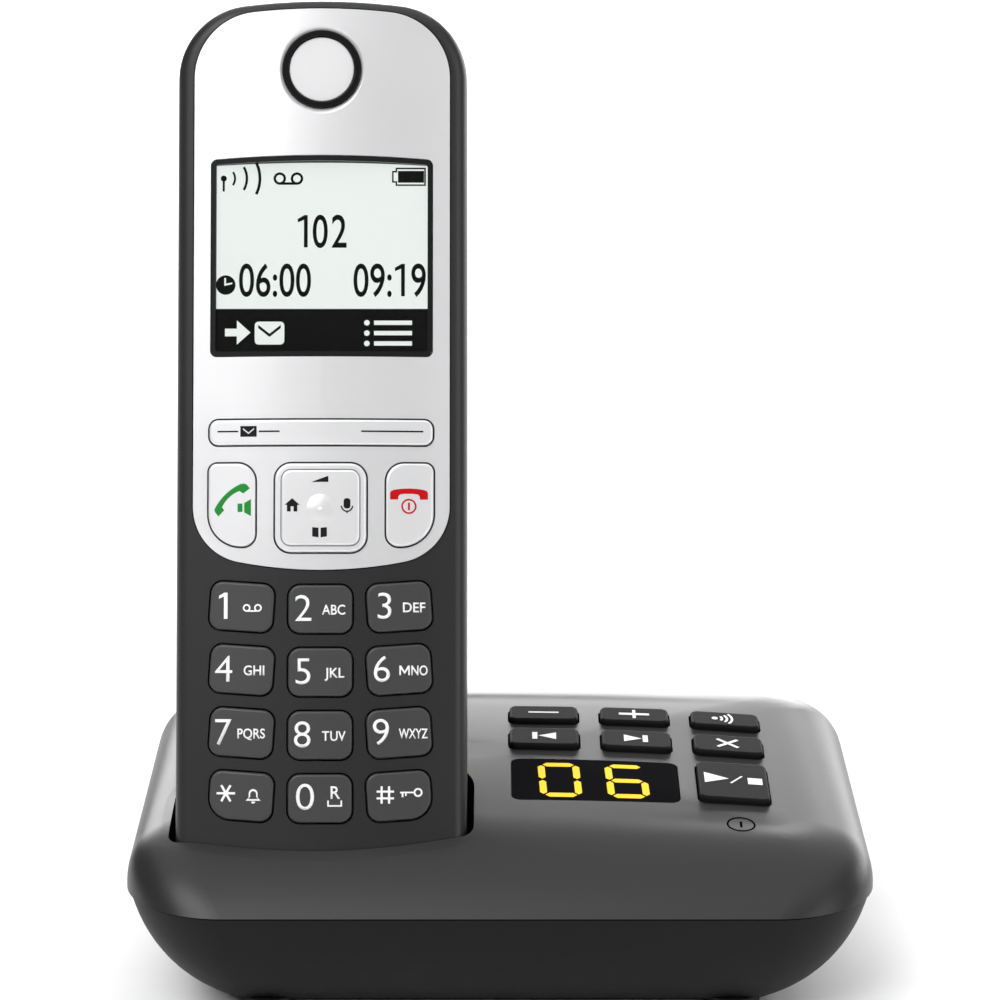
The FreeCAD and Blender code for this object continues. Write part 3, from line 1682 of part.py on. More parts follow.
def control_key():
    """Four-way key: a low frame, a groove, a higher square and a round bump in its middle."""
    level = size("control_level")
    low = size("control_ring_proud")
    proud = size("control_proud")
    inset = -size("control_ring")
    frame = key_cap(control_outline(), low)
    groove = prism(control_outline(inset + size("control_groove")), -size("control_ring_proud"), proud)
    square = key_cap(control_outline(inset), proud)
    rise = size("control_bump_height")
    spread = size("control_bump_radius")
    ball = (spread**2 + rise**2) / (2 * rise)
    bump = Part.makeSphere(ball, Vector(0, level, proud + rise - ball))
    column_rod = rod(spread, key_bottom / 2, proud + rise, 0, level)
    return frame.cut(groove).fuse(square).fuse(bump.common(column_rod))


keep_shape("control_key", control_key(), seat)
pivot_radius = size("pivot_diameter") / 2
pivot_centre = Vector(0, size("control_level"), size("mat_level") + size("pivot_gap") + pivot_radius)


def control_key_pivot():
    """Post with a ball foot that carries the four-way key and lets it rock."""
    top = key_bottom - size("pivot_gap")
    post = rod(pivot_radius, pivot_centre.z, top, 0, pivot_centre.y)
    foot = Part.makeSphere(pivot_radius, pivot_centre, Z_AXIS, -90, 0, 360)
    return post.fuse(foot).removeSplitter()


keep_shape("control_key_pivot", control_key_pivot(), seat)


# ---------------------------------------------------------------- inside the handset

def plate_body(label, width, length, corner, thickness, middle, bottom):
    """Flat plate padded from a rounded rectangle, placed in the handset frame."""
    body = doc.addObject("PartDesign::Body", label + "_body")
    outline = sketch_rounded_rectangle(body, "Outline", width, length, corner)
    pad(body, outline, thickness, "Plate")
    place = Placement(Vector(0, middle, bottom), Rotation())
    return keep(body, label, seat.multiply(place))


plate_body(
    "handset_key_mat",
    "Sizes.mat_width",
    "Sizes.mat_top - Sizes.mat_bottom",
    "Sizes.key_corner",
    "Sizes.mat_thickness",
    (size("mat_top") + size("mat_bottom")) / 2,
    inner_board_top,
)


def handset_board():
    outline = rounded_outline(
        size("inner_board_width"),
        size("inner_board_top") - size("inner_board_bottom"),
        (size("key_corner"),) * 4,
        (0, inner_board_middle),
    )
    board = prism(outline, inner_board_bottom, inner_board_top)
    hole = size("board_screw_diameter") / 2 + size("trim_gap")
    for x, y in INNER_BOSSES:
        board = board.cut(rod(hole, inner_board_bottom, inner_board_top, x, y))
    return board


keep_shape("handset_circuit_board", handset_board(), seat)


def handset_screws():
    one = screw(
        size("board_screw_diameter"),
        size("board_screw_head"),
        size("board_screw_head_height"),
        size("inner_board_thickness") + inner_screw_bite - size("screw_gap"),
    )
    places = [Placement(Vector(x, y, inner_board_bottom), Rotation()) for x, y in INNER_BOSSES]
    return Part.makeCompound([moved(one, place) for place in places])


keep_shape("handset_screws", handset_screws(), seat)


def lcd_panel():
    """Display glass on its frame, standing on the board up to just behind the lens."""
    outline = lens_outline(-size("lens_ledge") - size("panel_gap"))
    lens_back = face_cylinder(-size("plate_thickness") - size("panel_gap"))
    reach = size("lens_width") / 2
    sag = size("face_radius") - math.sqrt(size("face_radius") ** 2 - reach**2)
    flat_top = -size("plate_thickness") - sag - size("panel_gap")
    return prism(outline, inner_board_top, flat_top).common(lens_back)


keep_shape("lcd_panel", lcd_panel(), seat)


def microphone():
    return rod(
        size("microphone_diameter") / 2,
        inner_board_top,
        inner_board_top + size("microphone_height"),
        0,
        size("microphone_level"),
    )


keep_shape("microphone", microphone(), seat)

cell_radius = size("cell_diameter") / 2
cell_depth = size("tray_level") - size("cell_gap") - cell_radius
CELL_CENTRES = (-cell_radius - size("cell_gap") / 2, cell_radius + size("cell_gap") / 2)


def battery_cells():
    """Two cells side by side, each with its positive button, turned end for end."""
    cells = []
    for x, flip in zip(CELL_CENTRES, (1, -1)):
        start = size("cell_bottom") if flip > 0 else size("cell_bottom") + size("cell_length")
        along = Vector(0, flip, 0)
        body_length = size("cell_length") - size("cell_button_height")
        base = Vector(x, start, cell_depth)
        can = Part.makeCylinder(cell_radius, body_length, base, along)
        tip = base + along * body_length
        button = Part.makeCylinder(
            size("cell_button_diameter") / 2, size("cell_button_height"), tip, along
        )
        cells.append(can.fuse(button))
    return Part.makeCompound(cells)


keep_shape("battery_cells", battery_cells(), seat)


def battery_contacts():
    """End plates of the battery tray, with a cone for each spring."""
    pieces = []
    thick = size("contact_plate")
    wide = size("cell_diameter") * 2 - size("cell_gap")
    low = size("tray_bottom")
    high = size("tray_top")
    top = size("tray_level") - size("cell_gap")
    cell_top = size("cell_bottom") + size("cell_length")
    for start, face, aim, x in (
        (low, size("cell_bottom"), 1, CELL_CENTRES[0]),
        (high - thick, cell_top, -1, CELL_CENTRES[1]),
    ):
        plate = Part.makeBox(
            wide, thick, size("cell_diameter") * 0.8,
            Vector(-wide / 2, start, top - size("cell_diameter") * 0.9),
        )
        root = start + thick if aim > 0 else start
        reach = abs(face - root)
        spring = Part.makeCone(
            cell_radius * 0.7, cell_radius * 0.45, reach, Vector(x, root, cell_depth), Vector(0, aim, 0)
        )
        other = CELL_CENTRES[0] + CELL_CENTRES[1] - x
        bump = Part.makeCylinder(
            cell_radius * 0.35, reach, Vector(other, root, cell_depth), Vector(0, aim, 0)
        )
        pieces.append(plate.fuse(spring).fuse(bump))
    return Part.makeCompound(pieces)


keep_shape("battery_contacts", battery_contacts(), seat)

rear_speaker_depth = back_depth(size("handset_speaker_level") + size("handset_speaker_diameter") / 2)
loudspeaker(
    "handset_loudspeaker",
    "Sizes.handset_speaker_diameter",
    "Sizes.handset_speaker_height",
    "Sizes.speaker_rim / 2",
    seat.multiply(
        Placement(
            Vector(
                0,
                size("handset_speaker_level"),
                size("handset_wall") + size("handset_speaker_gap") - rear_speaker_depth,
            ),
            Rotation(),
        )
    ),
)


# ---------------------------------------------------------------- checks and files

doc.recompute()
for item in doc.Objects:
    if "Invalid" in item.State or "Error" in item.State:
        raise RuntimeError(f"{item.Label} could not be computed")
for item in parts:
    if item.Shape.isNull() or not item.Shape.isValid():
        raise RuntimeError(f"{item.Label} has no valid solid")

os.makedirs("parts", exist_ok=True)
for item in parts:
    item.Shape.exportStep(f"parts/{item.Label}.step")
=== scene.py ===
import json
import math

import bpy
from mathutils import Matrix, Vector

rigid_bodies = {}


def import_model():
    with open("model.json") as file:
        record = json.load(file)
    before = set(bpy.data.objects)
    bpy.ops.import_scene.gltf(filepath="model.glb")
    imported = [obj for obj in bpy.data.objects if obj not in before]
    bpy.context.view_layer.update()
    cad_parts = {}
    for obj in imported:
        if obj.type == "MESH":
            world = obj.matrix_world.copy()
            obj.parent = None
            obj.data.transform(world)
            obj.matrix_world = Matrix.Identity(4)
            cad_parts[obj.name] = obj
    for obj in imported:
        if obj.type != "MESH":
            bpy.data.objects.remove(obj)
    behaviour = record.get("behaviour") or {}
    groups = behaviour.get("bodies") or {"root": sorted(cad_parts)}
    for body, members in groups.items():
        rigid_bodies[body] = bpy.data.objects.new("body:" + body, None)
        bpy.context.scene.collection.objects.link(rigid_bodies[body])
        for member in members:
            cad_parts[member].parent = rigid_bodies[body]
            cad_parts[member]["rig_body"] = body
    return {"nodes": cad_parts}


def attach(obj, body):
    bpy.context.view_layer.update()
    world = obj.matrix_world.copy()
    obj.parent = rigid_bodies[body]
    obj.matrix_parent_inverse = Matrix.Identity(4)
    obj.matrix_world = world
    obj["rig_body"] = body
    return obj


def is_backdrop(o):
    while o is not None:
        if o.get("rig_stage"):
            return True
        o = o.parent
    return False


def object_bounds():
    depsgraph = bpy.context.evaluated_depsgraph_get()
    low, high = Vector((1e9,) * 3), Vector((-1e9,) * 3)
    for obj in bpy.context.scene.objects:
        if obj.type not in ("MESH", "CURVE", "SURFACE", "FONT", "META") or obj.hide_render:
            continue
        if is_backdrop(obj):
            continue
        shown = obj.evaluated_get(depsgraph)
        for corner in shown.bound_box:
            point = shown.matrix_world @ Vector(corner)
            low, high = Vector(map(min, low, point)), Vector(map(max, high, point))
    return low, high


bl_info = {
    "name": "Cordless telephone looks",
    "version": (1, 0, 0),
    "blender": (4, 5, 0),
    "location": "3D View > Sidebar > Telephone",
    "description": "Finishes, prints and displays of a cordless telephone on its answering base",
    "category": "Object",
}

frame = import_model()
CAD_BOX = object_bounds()

MM = 0.001
# Lean and foot of the handset's face, slope and middle of the base's crown.
HANDSET_LEAN = math.radians(18)
HANDSET_FOOT = Vector((-30.1, -35.9, 18.1)) * MM
CONSOLE_SLOPE = math.radians(6.364)
CONSOLE_MIDDLE = Vector((0.0, 1.359, 35.94)) * MM
# Height of a capital as a share of the font size.
CAPITAL_SHARE = 0.69
# Height over a piece from which a print is pressed on it, and what is left between the two.
ABOVE = 4 * MM
PRINT_GAP = 0.004 * MM
# Strips of a print on the crown, which bends both ways.
CROWN_BANDS = (1.2 * MM, 1.2 * MM)
# Scales of the patterns in the materials.
PATCHES_PER_METRE = 220.0
CLOUDS_PER_METRE = 60.0
DRIFTS_PER_METRE = 45.0
TRACKS_PER_METRE = 260.0


def leaning(point, turn):
    """Local axes with their origin at a point, turned about X: X across, Y along, Z outwards."""
    return Matrix.Translation(point) @ Matrix.Rotation(turn, 4, "X")


HANDSET = leaning(HANDSET_FOOT, math.pi / 2 - HANDSET_LEAN)
CONSOLE = leaning(CONSOLE_MIDDLE, CONSOLE_SLOPE)


# ---------------------------------------------------------------- sizes and colours

def colour(name, description, default):
    return bpy.props.FloatVectorProperty(
        name=name, description=description, default=default, subtype="COLOR", size=3, min=0, max=1
    )


def length(name, description, default):
    return bpy.props.FloatProperty(
        name=name, description=description, default=default * MM, unit="LENGTH", precision=5
    )


def share(name, description, default):
    return bpy.props.FloatProperty(
        name=name, description=description, default=default, subtype="FACTOR", min=0, max=1
    )


def power(name, description, default):
    return bpy.props.FloatProperty(name=name, description=description, default=default, unit="POWER")


class TelephoneColours(bpy.types.PropertyGroup):
    charcoal: colour("Charcoal", "Handset shells and top of the base", (0.02, 0.02, 0.0205))
    graphite: colour("Graphite", "Lower housing of the base", (0.006, 0.006, 0.0062))
    silver: colour("Silver", "Faceplate paint", (0.84, 0.84, 0.85))
    silver_keys: colour("Silver keys", "Talk, end, soft and four-way keys", (0.85, 0.85, 0.86))
    key_charcoal: colour("Key charcoal", "Dialling keys", (0.042, 0.042, 0.043))
    console_black: colour("Console black", "Keys on the base", (0.011, 0.011, 0.0115))
    print_white: colour("White print", "Signs on dark keys", (0.9, 0.9, 0.9))
    print_black: colour("Black print", "Signs on silver keys", (0.008, 0.008, 0.009))
    call_green: colour("Call green", "Sign on the talk key", (0.012, 0.24, 0.03))
    end_red: colour("End red", "Sign on the end key", (0.5, 0.003, 0.006))
    screen_pale: colour("Screen", "Lit panel of the handset", (0.84, 0.87, 0.85))
    screen_ink: colour("Screen ink", "Dark dots of the handset's panel", (0.004, 0.005, 0.004))
    lamp_amber: colour("Lamp amber", "Segments of the message counter", (0.74, 0.475, 0.002))
    floor: colour("Floor", "Table under the telephone", (0.93, 0.93, 0.93))


class TelephoneSigns(bpy.types.PropertyGroup):
    thickness: length("Print thickness", "How far a print stands out", 0.03)
    digit_height: length("Digit height", "Digits on the dialling keys", 4.4)
    letter_height: length("Letter height", "Letters beside the digits", 1.6)
    fine_line: length("Fine line", "Line of small symbols", 0.26)
    counter_height: length("Counter height", "Digits of the message counter", 12.6)
    counter_width: length("Counter width", "Width of a counter digit", 7.2)
    counter_stroke: length("Counter stroke", "Width of an upright lit segment", 1.2)
    counter_bar: length("Counter bar", "Thickness of a level lit segment", 1.4)
    screen_digit: length("Screen digit", "Height of the clock's digits", 5.5)


class TelephoneStage(bpy.types.PropertyGroup):
    focal_length: bpy.props.FloatProperty(
        name="Focal length", description="Lens of the camera, in millimetres", default=130.7
    )
    elevation: bpy.props.FloatProperty(
        name="Elevation",
        description="Angle of the camera above the table",
        default=math.radians(15),
        subtype="ANGLE",
    )
    distance: length("Distance", "From the camera to the middle of the picture", 600)
    target_depth: length("Target depth", "Place that the camera looks at, towards the back", -23)
    target_height: length("Target height", "Height that the camera looks at", 87.64)
    floor_size: length("Floor size", "Width of the pale floor", 9000)
    sky_light: power("Sky light", "Broad soft light over the table", 36.0)
    key_light: power("Key light", "Soft light from the left", 21.0)
    fill_light: power("Fill light", "Soft light from the right", 4.5)
    back_light: power("Back light", "Wide light behind the table, which the deck reflects", 48.0)
    rim_light: power("Rim light", "Soft light behind the right side, along the base's edge", 30.0)
    surround: share("Surround", "Brightness of the room", 0.1)


# ---------------------------------------------------------------- working with objects

def only(piece):
    """Select one object alone and make it the active one."""
    bpy.ops.object.select_all(action="DESELECT")
    piece.select_set(True)
    bpy.context.view_layer.objects.active = piece


def apply_place(piece):
    only(piece)
    bpy.ops.object.transform_apply(location=True, rotation=True, scale=True)
    return piece


def apply_modifiers(piece):
    only(piece)
    for name in [modifier.name for modifier in piece.modifiers]:
        bpy.ops.object.modifier_apply(modifier=name)


def joined(pieces, name):
    bpy.ops.object.select_all(action="DESELECT")
    for piece in pieces:
        piece.select_set(True)
    bpy.context.view_layer.objects.active = pieces[0]
    if len(pieces) > 1:
        bpy.ops.object.join()
    piece = bpy.context.object
    piece.name = piece.data.name = name
    return piece


def body_of(node):
    return frame["nodes"][node]["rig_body"]


def local_box(node, place):
    """Lowest and highest corner of a CAD piece, measured along local axes."""
    back = place.inverted()
    points = [back @ vertex.co for vertex in frame["nodes"][node].data.vertices]
    low = Vector([min(point[axis] for point in points) for axis in range(3)])
    high = Vector([max(point[axis] for point in points) for axis in range(3)])
    return low, high


def top_of(node, place):
    """Local axes moved to the middle of a CAD piece, just above its outermost point."""
    low, high = local_box(node, place)
    middle = (low + high) / 2
    return place @ Matrix.Translation((middle.x, middle.y, high.z + ABOVE))


# ---------------------------------------------------------------- plane outlines, in millimetres

def box_outline(x, y, wide, tall):
    left, right = x - wide / 2, x + wide / 2
    low, high = y - tall / 2, y + tall / 2
    return [(left, low), (right, low), (right, high), (left, high)]


def arc_points(x, y, radius, start, end, steps):
    """Points along an arc between two angles in degrees."""
    points = []
    for step in range(steps + 1):
        angle = math.radians(start + (end - start) * step / steps)
        points.append((x + radius * math.cos(angle), y + radius * math.sin(angle)))
    return points


def circle_outline(x, y, radius, steps):
    return arc_points(x, y, radius, 0, 360 - 360 / steps, steps - 1)


def ring_outlines(x, y, radius, line, steps):
    """Circle drawn with a line of some width, as its outer and inner edge."""
    return [circle_outline(x, y, radius + side * line / 2, steps) for side in (1, -1)]


def arc_outline(x, y, radius, line, start, end, steps):
    """Arc drawn with a line of some width."""
    outer = arc_points(x, y, radius + line / 2, start, end, steps)
    inner = arc_points(x, y, radius - line / 2, end, start, steps)
    return outer + inner


def rounded_outline(x, y, wide, tall, corner):
    """Rectangle with round corners, from the top right one on."""
    half_x, half_y, steps = wide / 2 - corner, tall / 2 - corner, 5
    quarters = ((half_x, half_y, 0), (-half_x, half_y, 90), (-half_x, -half_y, 180), (half_x, -half_y, 270))
    points = []
    for across, along, start in quarters:
        points += arc_points(x + across, y + along, corner, start, start + 90, steps)
    return points


def line_outline(start, end, line):
    """Straight stroke between two points."""
    across = Vector((end[0] - start[0], end[1] - start[1])).normalized().orthogonal() * (line / 2)
    return [
        (start[0] + across.x, start[1] + across.y),
        (end[0] + across.x, end[1] + across.y),
        (end[0] - across.x, end[1] - across.y),
        (start[0] - across.x, start[1] - across.y),
    ]


def chevron_outline(x, y, wide, tall, line):
    """V drawn with a line whose upright thickness is given."""
    upper = [(x - wide / 2, y + tall / 2), (x, y - tall / 2), (x + wide / 2, y + tall / 2)]
    return upper + [(across, along - line) for across, along in reversed(upper)]


def star_outline(x, y, reach, line):
    """Six-armed star of three crossed strokes."""
    points = []
    for arm in range(6):
        angle = math.radians(60 * arm)
        along = Vector((math.cos(angle), math.sin(angle)))
        side = Vector((-along.y, along.x)) * (line / 2)
        notch = Vector((math.cos(angle + math.pi / 6), math.sin(angle + math.pi / 6))) * line
        points += [along * reach - side, along * reach + side, notch]
    return [(x + point.x, y + point.y) for point in points]


def arc_through(start, middle, end, steps):
    """Points of the arc that runs from start to end through middle."""
    first, second, third = Vector(start), Vector(middle), Vector(end)
    along, side = second - first, third - first
    twist = 2 * (along.x * side.y - along.y * side.x)
    offset_x = (side.y * along.length_squared - along.y * side.length_squared) / twist
    offset_y = (along.x * side.length_squared - side.x * along.length_squared) / twist
    centre = first + Vector((offset_x, offset_y))
    arm = first - centre
    turn = (third - centre).angle_signed(arm)
    return [tuple(centre + Matrix.Rotation(turn * step / steps, 2) @ arm) for step in range(steps + 1)]


# ---------------------------------------------------------------- flat shapes and prints

def flat(*outlines):
    """Fill closed outlines, given in millimetres; one that lies inside another is a hole."""
    curve = bpy.data.curves.new("Flat", "CURVE")
    curve.dimensions = "2D"
    curve.fill_mode = "BOTH"
    for outline in outlines:
        spline = curve.splines.new("POLY")
        spline.points.add(len(outline) - 1)
        spline.use_cyclic_u = True
        for point, (x, y) in zip(spline.points, outline):
            point.co = (x * MM, y * MM, 0, 1)
    piece = bpy.data.objects.new("Flat", curve)
    bpy.context.scene.collection.objects.link(piece)
    only(piece)
    bpy.ops.object.convert(target="MESH")
    return bpy.context.object


def words(body, height, x, y, stretch, weight, wide=None):
    """Characters as a flat mesh about x and y; height is that of a capital, and wide overrides stretch."""
    bpy.ops.object.select_all(action="DESELECT")
    bpy.ops.object.text_add(location=(x * MM, (y - height / 2) * MM, 0))
    piece = bpy.context.object
    piece.data.body = body
    piece.data.size = height * MM / CAPITAL_SHARE
    piece.data.offset = weight
    piece.data.resolution_u = 5
    piece.data.align_x = "CENTER"
    bpy.ops.object.convert(target="MESH")
    piece = bpy.context.object
    piece.scale.x = wide * MM / piece.dimensions.x if wide else stretch
    return apply_place(piece)


def figure_one(height, x, y, stroke):
    """The digit 1 with a flag, as the plain character has none; stroke is a share of its height."""
    stem, half = height * stroke, height / 2
    outline = [
        (x, y - half),
        (x + stem, y - half),
        (x + stem, y + half),
        (x + stem * 0.15, y + half),
        (x - height * 0.19, y + half * 0.76),
        (x - height * 0.19, y + half * 0.54),
        (x, y + half * 0.7),
    ]
    return flat(outline)


def letter_m(x, y, wide, tall, stroke):
    """The letter M, whose plain character fills in when it is made bolder."""
    half_x, half_y, valley = wide / 2, tall / 2, -0.1 * tall
    right = [
        (half_x - 1.2 * stroke, half_y),
        (half_x, half_y),
        (half_x, -half_y),
        (half_x - stroke, -half_y),
        (half_x - stroke, half_y - 2.2 * stroke),
    ]
    left = [(-across, along) for across, along in reversed(right)]
    outline = [(0, valley)] + right + [(0, valley - 1.7 * stroke)] + left
    return flat([(x + across, y + along) for across, along in outline])


def letter_t(x, y, wide, tall, stroke):
    """The letter T, whose stem sinks away when the plain character is made bolder."""
    half_x, half_y, half_stem = wide / 2, tall / 2, stroke / 2
    right = [(half_stem, -half_y), (half_stem, half_y - stroke), (half_x, half_y - stroke), (half_x, half_y)]
    outline = right + [(-across, along) for across, along in reversed(right)]
    return flat([(x + across, y + along) for across, along in outline])


def cut_across(piece, pitch, normal):
    """Cut a flat shape into narrow bands, so that it can bend round a curved surface."""
    places = [vertex.co.dot(normal) for vertex in piece.data.vertices]
    first, last = math.ceil(min(places) / pitch), math.floor(max(places) / pitch)
    only(piece)
    bpy.ops.object.mode_set(mode="EDIT")
    for count in range(first, last + 1):
        bpy.ops.mesh.select_all(action="SELECT")
        bpy.ops.mesh.bisect(plane_co=normal * (count * pitch), plane_no=normal)
    bpy.ops.object.mode_set(mode="OBJECT")


def laid(shapes, name, node, place, finish, bands=(None, None), rise=None):
    """Join flat shapes to one print, press it on a CAD piece from above, and let it ride there.

    Bands are the widths, across and along, of the strips that let it bend; rise is its thickness.
    """
    print_piece = joined(shapes, name)
    for band, normal in zip(bands, (Vector((1, 0, 0)), Vector((0, 1, 0)))):
        if band:
            cut_across(print_piece, band, normal)
    print_piece.data.materials.clear()
    print_piece.data.materials.append(finish)
    print_piece.matrix_world = place
    press = print_piece.modifiers.new("Press", "SHRINKWRAP")
    press.target = frame["nodes"][node]
    press.wrap_method = "PROJECT"
    press.use_project_z = True
    press.use_positive_direction = False
    press.use_negative_direction = True
    apply_modifiers(print_piece)
    print_piece.matrix_world = place @ Matrix.Translation((0, 0, PRINT_GAP))
    body = print_piece.modifiers.new("Body", "SOLIDIFY")
    body.thickness = rise or bpy.context.scene.telephone_signs.thickness
    body.offset = 1
    apply_modifiers(print_piece)
    apply_place(print_piece)
    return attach(print_piece, body_of(node))


# ---------------------------------------------------------------- shader groups

def new_group(name, inputs, outputs):
    """Node group with numbers and colours as inputs; each is (name, kind, default)."""
    group = bpy.data.node_groups.new(name, "ShaderNodeTree")
    for label, kind, default in inputs:
        socket = group.interface.new_socket(label, in_out="INPUT", socket_type="NodeSocket" + kind)
        socket.default_value = default
    for label, kind in outputs:
        group.interface.new_socket(label, in_out="OUTPUT", socket_type="NodeSocket" + kind)
    start = group.nodes.new("NodeGroupInput")
    end = group.nodes.new("NodeGroupOutput")
    return group, start, end


def add_node(tree, kind, values=None, **settings):
    """Shader node with its settings, and with values of its inputs by their name or number."""
    node = tree.nodes.new("ShaderNode" + kind)
    for key, value in settings.items():
        setattr(node, key, value)
    for socket, value in (values or {}).items():
        node.inputs[socket].default_value = value
    return node


def wire(tree, *links):
    """Join sockets; each link is (node, output, node, input)."""
    for source, output, target, socket in links:
        tree.links.new(source.outputs[output], target.inputs[socket])


def grain_group():
    """Fine moulded texture: a normal with small bumps, and a roughness that drifts from place to place."""
    group, start, end = new_group(
        "Moulded Grain",
        (
            ("Grain Size", "Float", 0.0004),
            ("Grain Depth", "Float", 0.00001),
            ("Roughness", "Float", 0.4),
            ("Drift", "Float", 0.05),
        ),
        (("Roughness", "Float"), ("Normal", "Vector")),
    )
    place = add_node(group, "TexCoord")
    density = add_node(group, "Math", {0: 1.0}, operation="DIVIDE")
    fine = add_node(group, "TexNoise", {"Detail": 3.0})
    bump = add_node(group, "Bump")
    broad = add_node(group, "TexNoise", {"Scale": DRIFTS_PER_METRE, "Detail": 4.0})
    centred = add_node(group, "Math", {1: 0.5}, operation="SUBTRACT")
    swing = add_node(group, "Math", operation="MULTIPLY_ADD")
    wire(
        group,
        (start, "Grain Size", density, 1),
        (density, 0, fine, "Scale"),
        (place, "Object", fine, "Vector"),
        (place, "Object", broad, "Vector"),
        (fine, "Fac", bump, "Height"),
        (start, "Grain Depth", bump, "Distance"),
        (broad, "Fac", centred, 0),
        (centred, 0, swing, 0),
        (start, "Drift", swing, 1),
        (start, "Roughness", swing, 2),
        (swing, 0, end, "Roughness"),
        (bump, "Normal", end, "Normal"),
    )
    return group


def wear_group():
    """Colour that is brighter on edges that hands rub, and uneven all over."""
    group, start, end = new_group(
        "Rubbed Edges",
        (
            ("Colour", "Color", (0.1, 0.1, 0.1, 1)),
            ("Rubbed", "Color", (0.3, 0.3, 0.3, 1)),
            ("Edge", "Float", 0.0003),
            ("Amount", "Float", 0.4),
            ("Mottle", "Float", 0.06),
        ),
        (("Colour", "Color"),),
    )
    shape = add_node(group, "NewGeometry")
    soft = add_node(group, "Bevel", samples=4)
    turn = add_node(group, "VectorMath", operation="DOT_PRODUCT")
    bend = add_node(group, "Math", {0: 1.0}, operation="SUBTRACT", use_clamp=True)
    sharpen = add_node(group, "Math", {1: 4.0}, operation="MULTIPLY", use_clamp=True)
    place = add_node(group, "TexCoord")
    patches = add_node(group, "TexNoise", {"Scale": PATCHES_PER_METRE, "Detail": 5.0})
    broken = add_node(group, "Math", operation="MULTIPLY")
    rubbed = add_node(group, "Math", operation="MULTIPLY", use_clamp=True)
    worn = add_node(group, "Mix", data_type="RGBA")
    cloud = add_node(group, "TexNoise", {"Scale": CLOUDS_PER_METRE})
    shade = add_node(group, "MapRange", {"To Max": 1.0})
    darkest = add_node(group, "Math", {0: 1.0}, operation="SUBTRACT")
    uneven = add_node(group, "Mix", {"Factor": 1.0}, data_type="RGBA", blend_type="MULTIPLY")
    wire(
        group,
        (start, "Edge", soft, "Radius"),
        (soft, "Normal", turn, 0),
        (shape, "Normal", turn, 1),
        (turn, "Value", bend, 1),
        (bend, 0, sharpen, 0),
        (place, "Object", patches, "Vector"),
        (place, "Object", cloud, "Vector"),
        (sharpen, 0, broken, 0),
        (patches, "Fac", broken, 1),
        (broken, 0, rubbed, 0),
        (start, "Amount", rubbed, 1),
        (rubbed, 0, worn, "Factor"),
        (start, "Colour", worn, "A"),
        (start, "Rubbed", worn, "B"),
        (start, "Mottle", darkest, 1),
        (darkest, 0, shade, "To Min"),
        (cloud, "Fac", shade, "Value"),
        (worn, "Result", uneven, "A"),
        (shade, "Result", uneven, "B"),
        (uneven, "Result", end, "Colour"),
    )
    return group


def shader_group(name):
    makers = {"Moulded Grain": grain_group, "Rubbed Edges": wear_group}
    return bpy.data.node_groups.get(name) or makers[name]()


# ---------------------------------------------------------------- materials

def new_material(name, **sockets):
    """Material with one Principled BSDF, whose constant values are given by socket name."""
    material = bpy.data.materials.new(name)
    material.use_nodes = True
    shader = material.node_tree.nodes["Principled BSDF"]
    for key, value in sockets.items():
        shader.inputs[key.replace("_", " ").title().replace("Ior", "IOR")].default_value = value
    return material, shader


def group_node(material, name, **values):
    node = material.node_tree.nodes.new("ShaderNodeGroup")
    node.node_tree = shader_group(name)
    for key, value in values.items():
        node.inputs[key.replace("_", " ").title()].default_value = value
    return node


def opaque(values):
    return (*values, 1.0)


def lighter(values, factor):
    return tuple(min(1.0, value * factor) for value in values)


def grained(material, shader, rough, grain, depth, drift):
    """Give a material its fine texture; grain and depth are in millimetres."""
    texture = group_node(
        material,
        "Moulded Grain",
        grain_size=grain * MM,
        grain_depth=depth * MM,
        roughness=rough,
        drift=drift,
    )
    wire(material.node_tree, *((texture, socket, shader, socket) for socket in ("Roughness", "Normal")))


def moulded(name, base, rough, grain=0.35, depth=0.004, drift=0.06, rubbed=2.2, amount=0.35, **sockets):
    """Moulded or painted surface: grain and depth in millimetres, with rubbed edges."""
    material, shader = new_material(name, **sockets)
    grained(material, shader, rough, grain, depth, drift)
    wear = group_node(
        material,
        "Rubbed Edges",
        colour=opaque(base),
        rubbed=opaque(lighter(base, rubbed)),
        amount=amount,
    )
    wire(material.node_tree, (wear, "Colour", shader, "Base Color"))
    return material


def clear_lens():
    """Clear acrylic with the faintest waviness."""
    material, shader = new_material(
        "Clear lens", base_color=(0.97, 0.99, 0.98, 1), transmission_weight=1.0, ior=1.49
    )
    grained(material, shader, 0.02, grain=3, depth=0.0005, drift=0.02)
    return material


def screen_panel(base):
    """Panel of fine dots that shines by itself, with a dim surface under the light."""
    unlit, dot_size = opaque(lighter(base, 0.25)), 0.18 * MM
    material, shader = new_material("Screen panel", base_color=unlit, emission_strength=0.95, roughness=0.35)
    tree = material.node_tree
    place = add_node(tree, "TexCoord")
    dot = add_node(tree, "TexNoise", {"Scale": 1 / dot_size})
    tint = add_node(tree, "ValToRGB")
    for element, tone in zip(tint.color_ramp.elements, (lighter(base, 0.94), base)):
        element.color = opaque(tone)
    wire(
        tree,
        (place, "Object", dot, "Vector"),
        (dot, "Fac", tint, "Fac"),
        (tint, "Color", shader, "Emission Color"),
    )
    return material


def laminate():
    """Green board laminate with copper tracks showing through as paler streaks."""
    material, shader = new_material("Board laminate", specular_ior_level=0.6, roughness=0.35)
    tree = material.node_tree
    place = add_node(tree, "TexCoord")
    greens = {
        "Color1": (0.012, 0.1, 0.03, 1),
        "Color2": (0.016, 0.13, 0.04, 1),
        "Mortar": (0.03, 0.2, 0.06, 1),
    }
    tracks = add_node(tree, "TexBrick", {"Scale": TRACKS_PER_METRE, **greens}, offset=0.37)
    wire(tree, (place, "Object", tracks, "Vector"), (tracks, "Color", shader, "Base Color"))
    return material


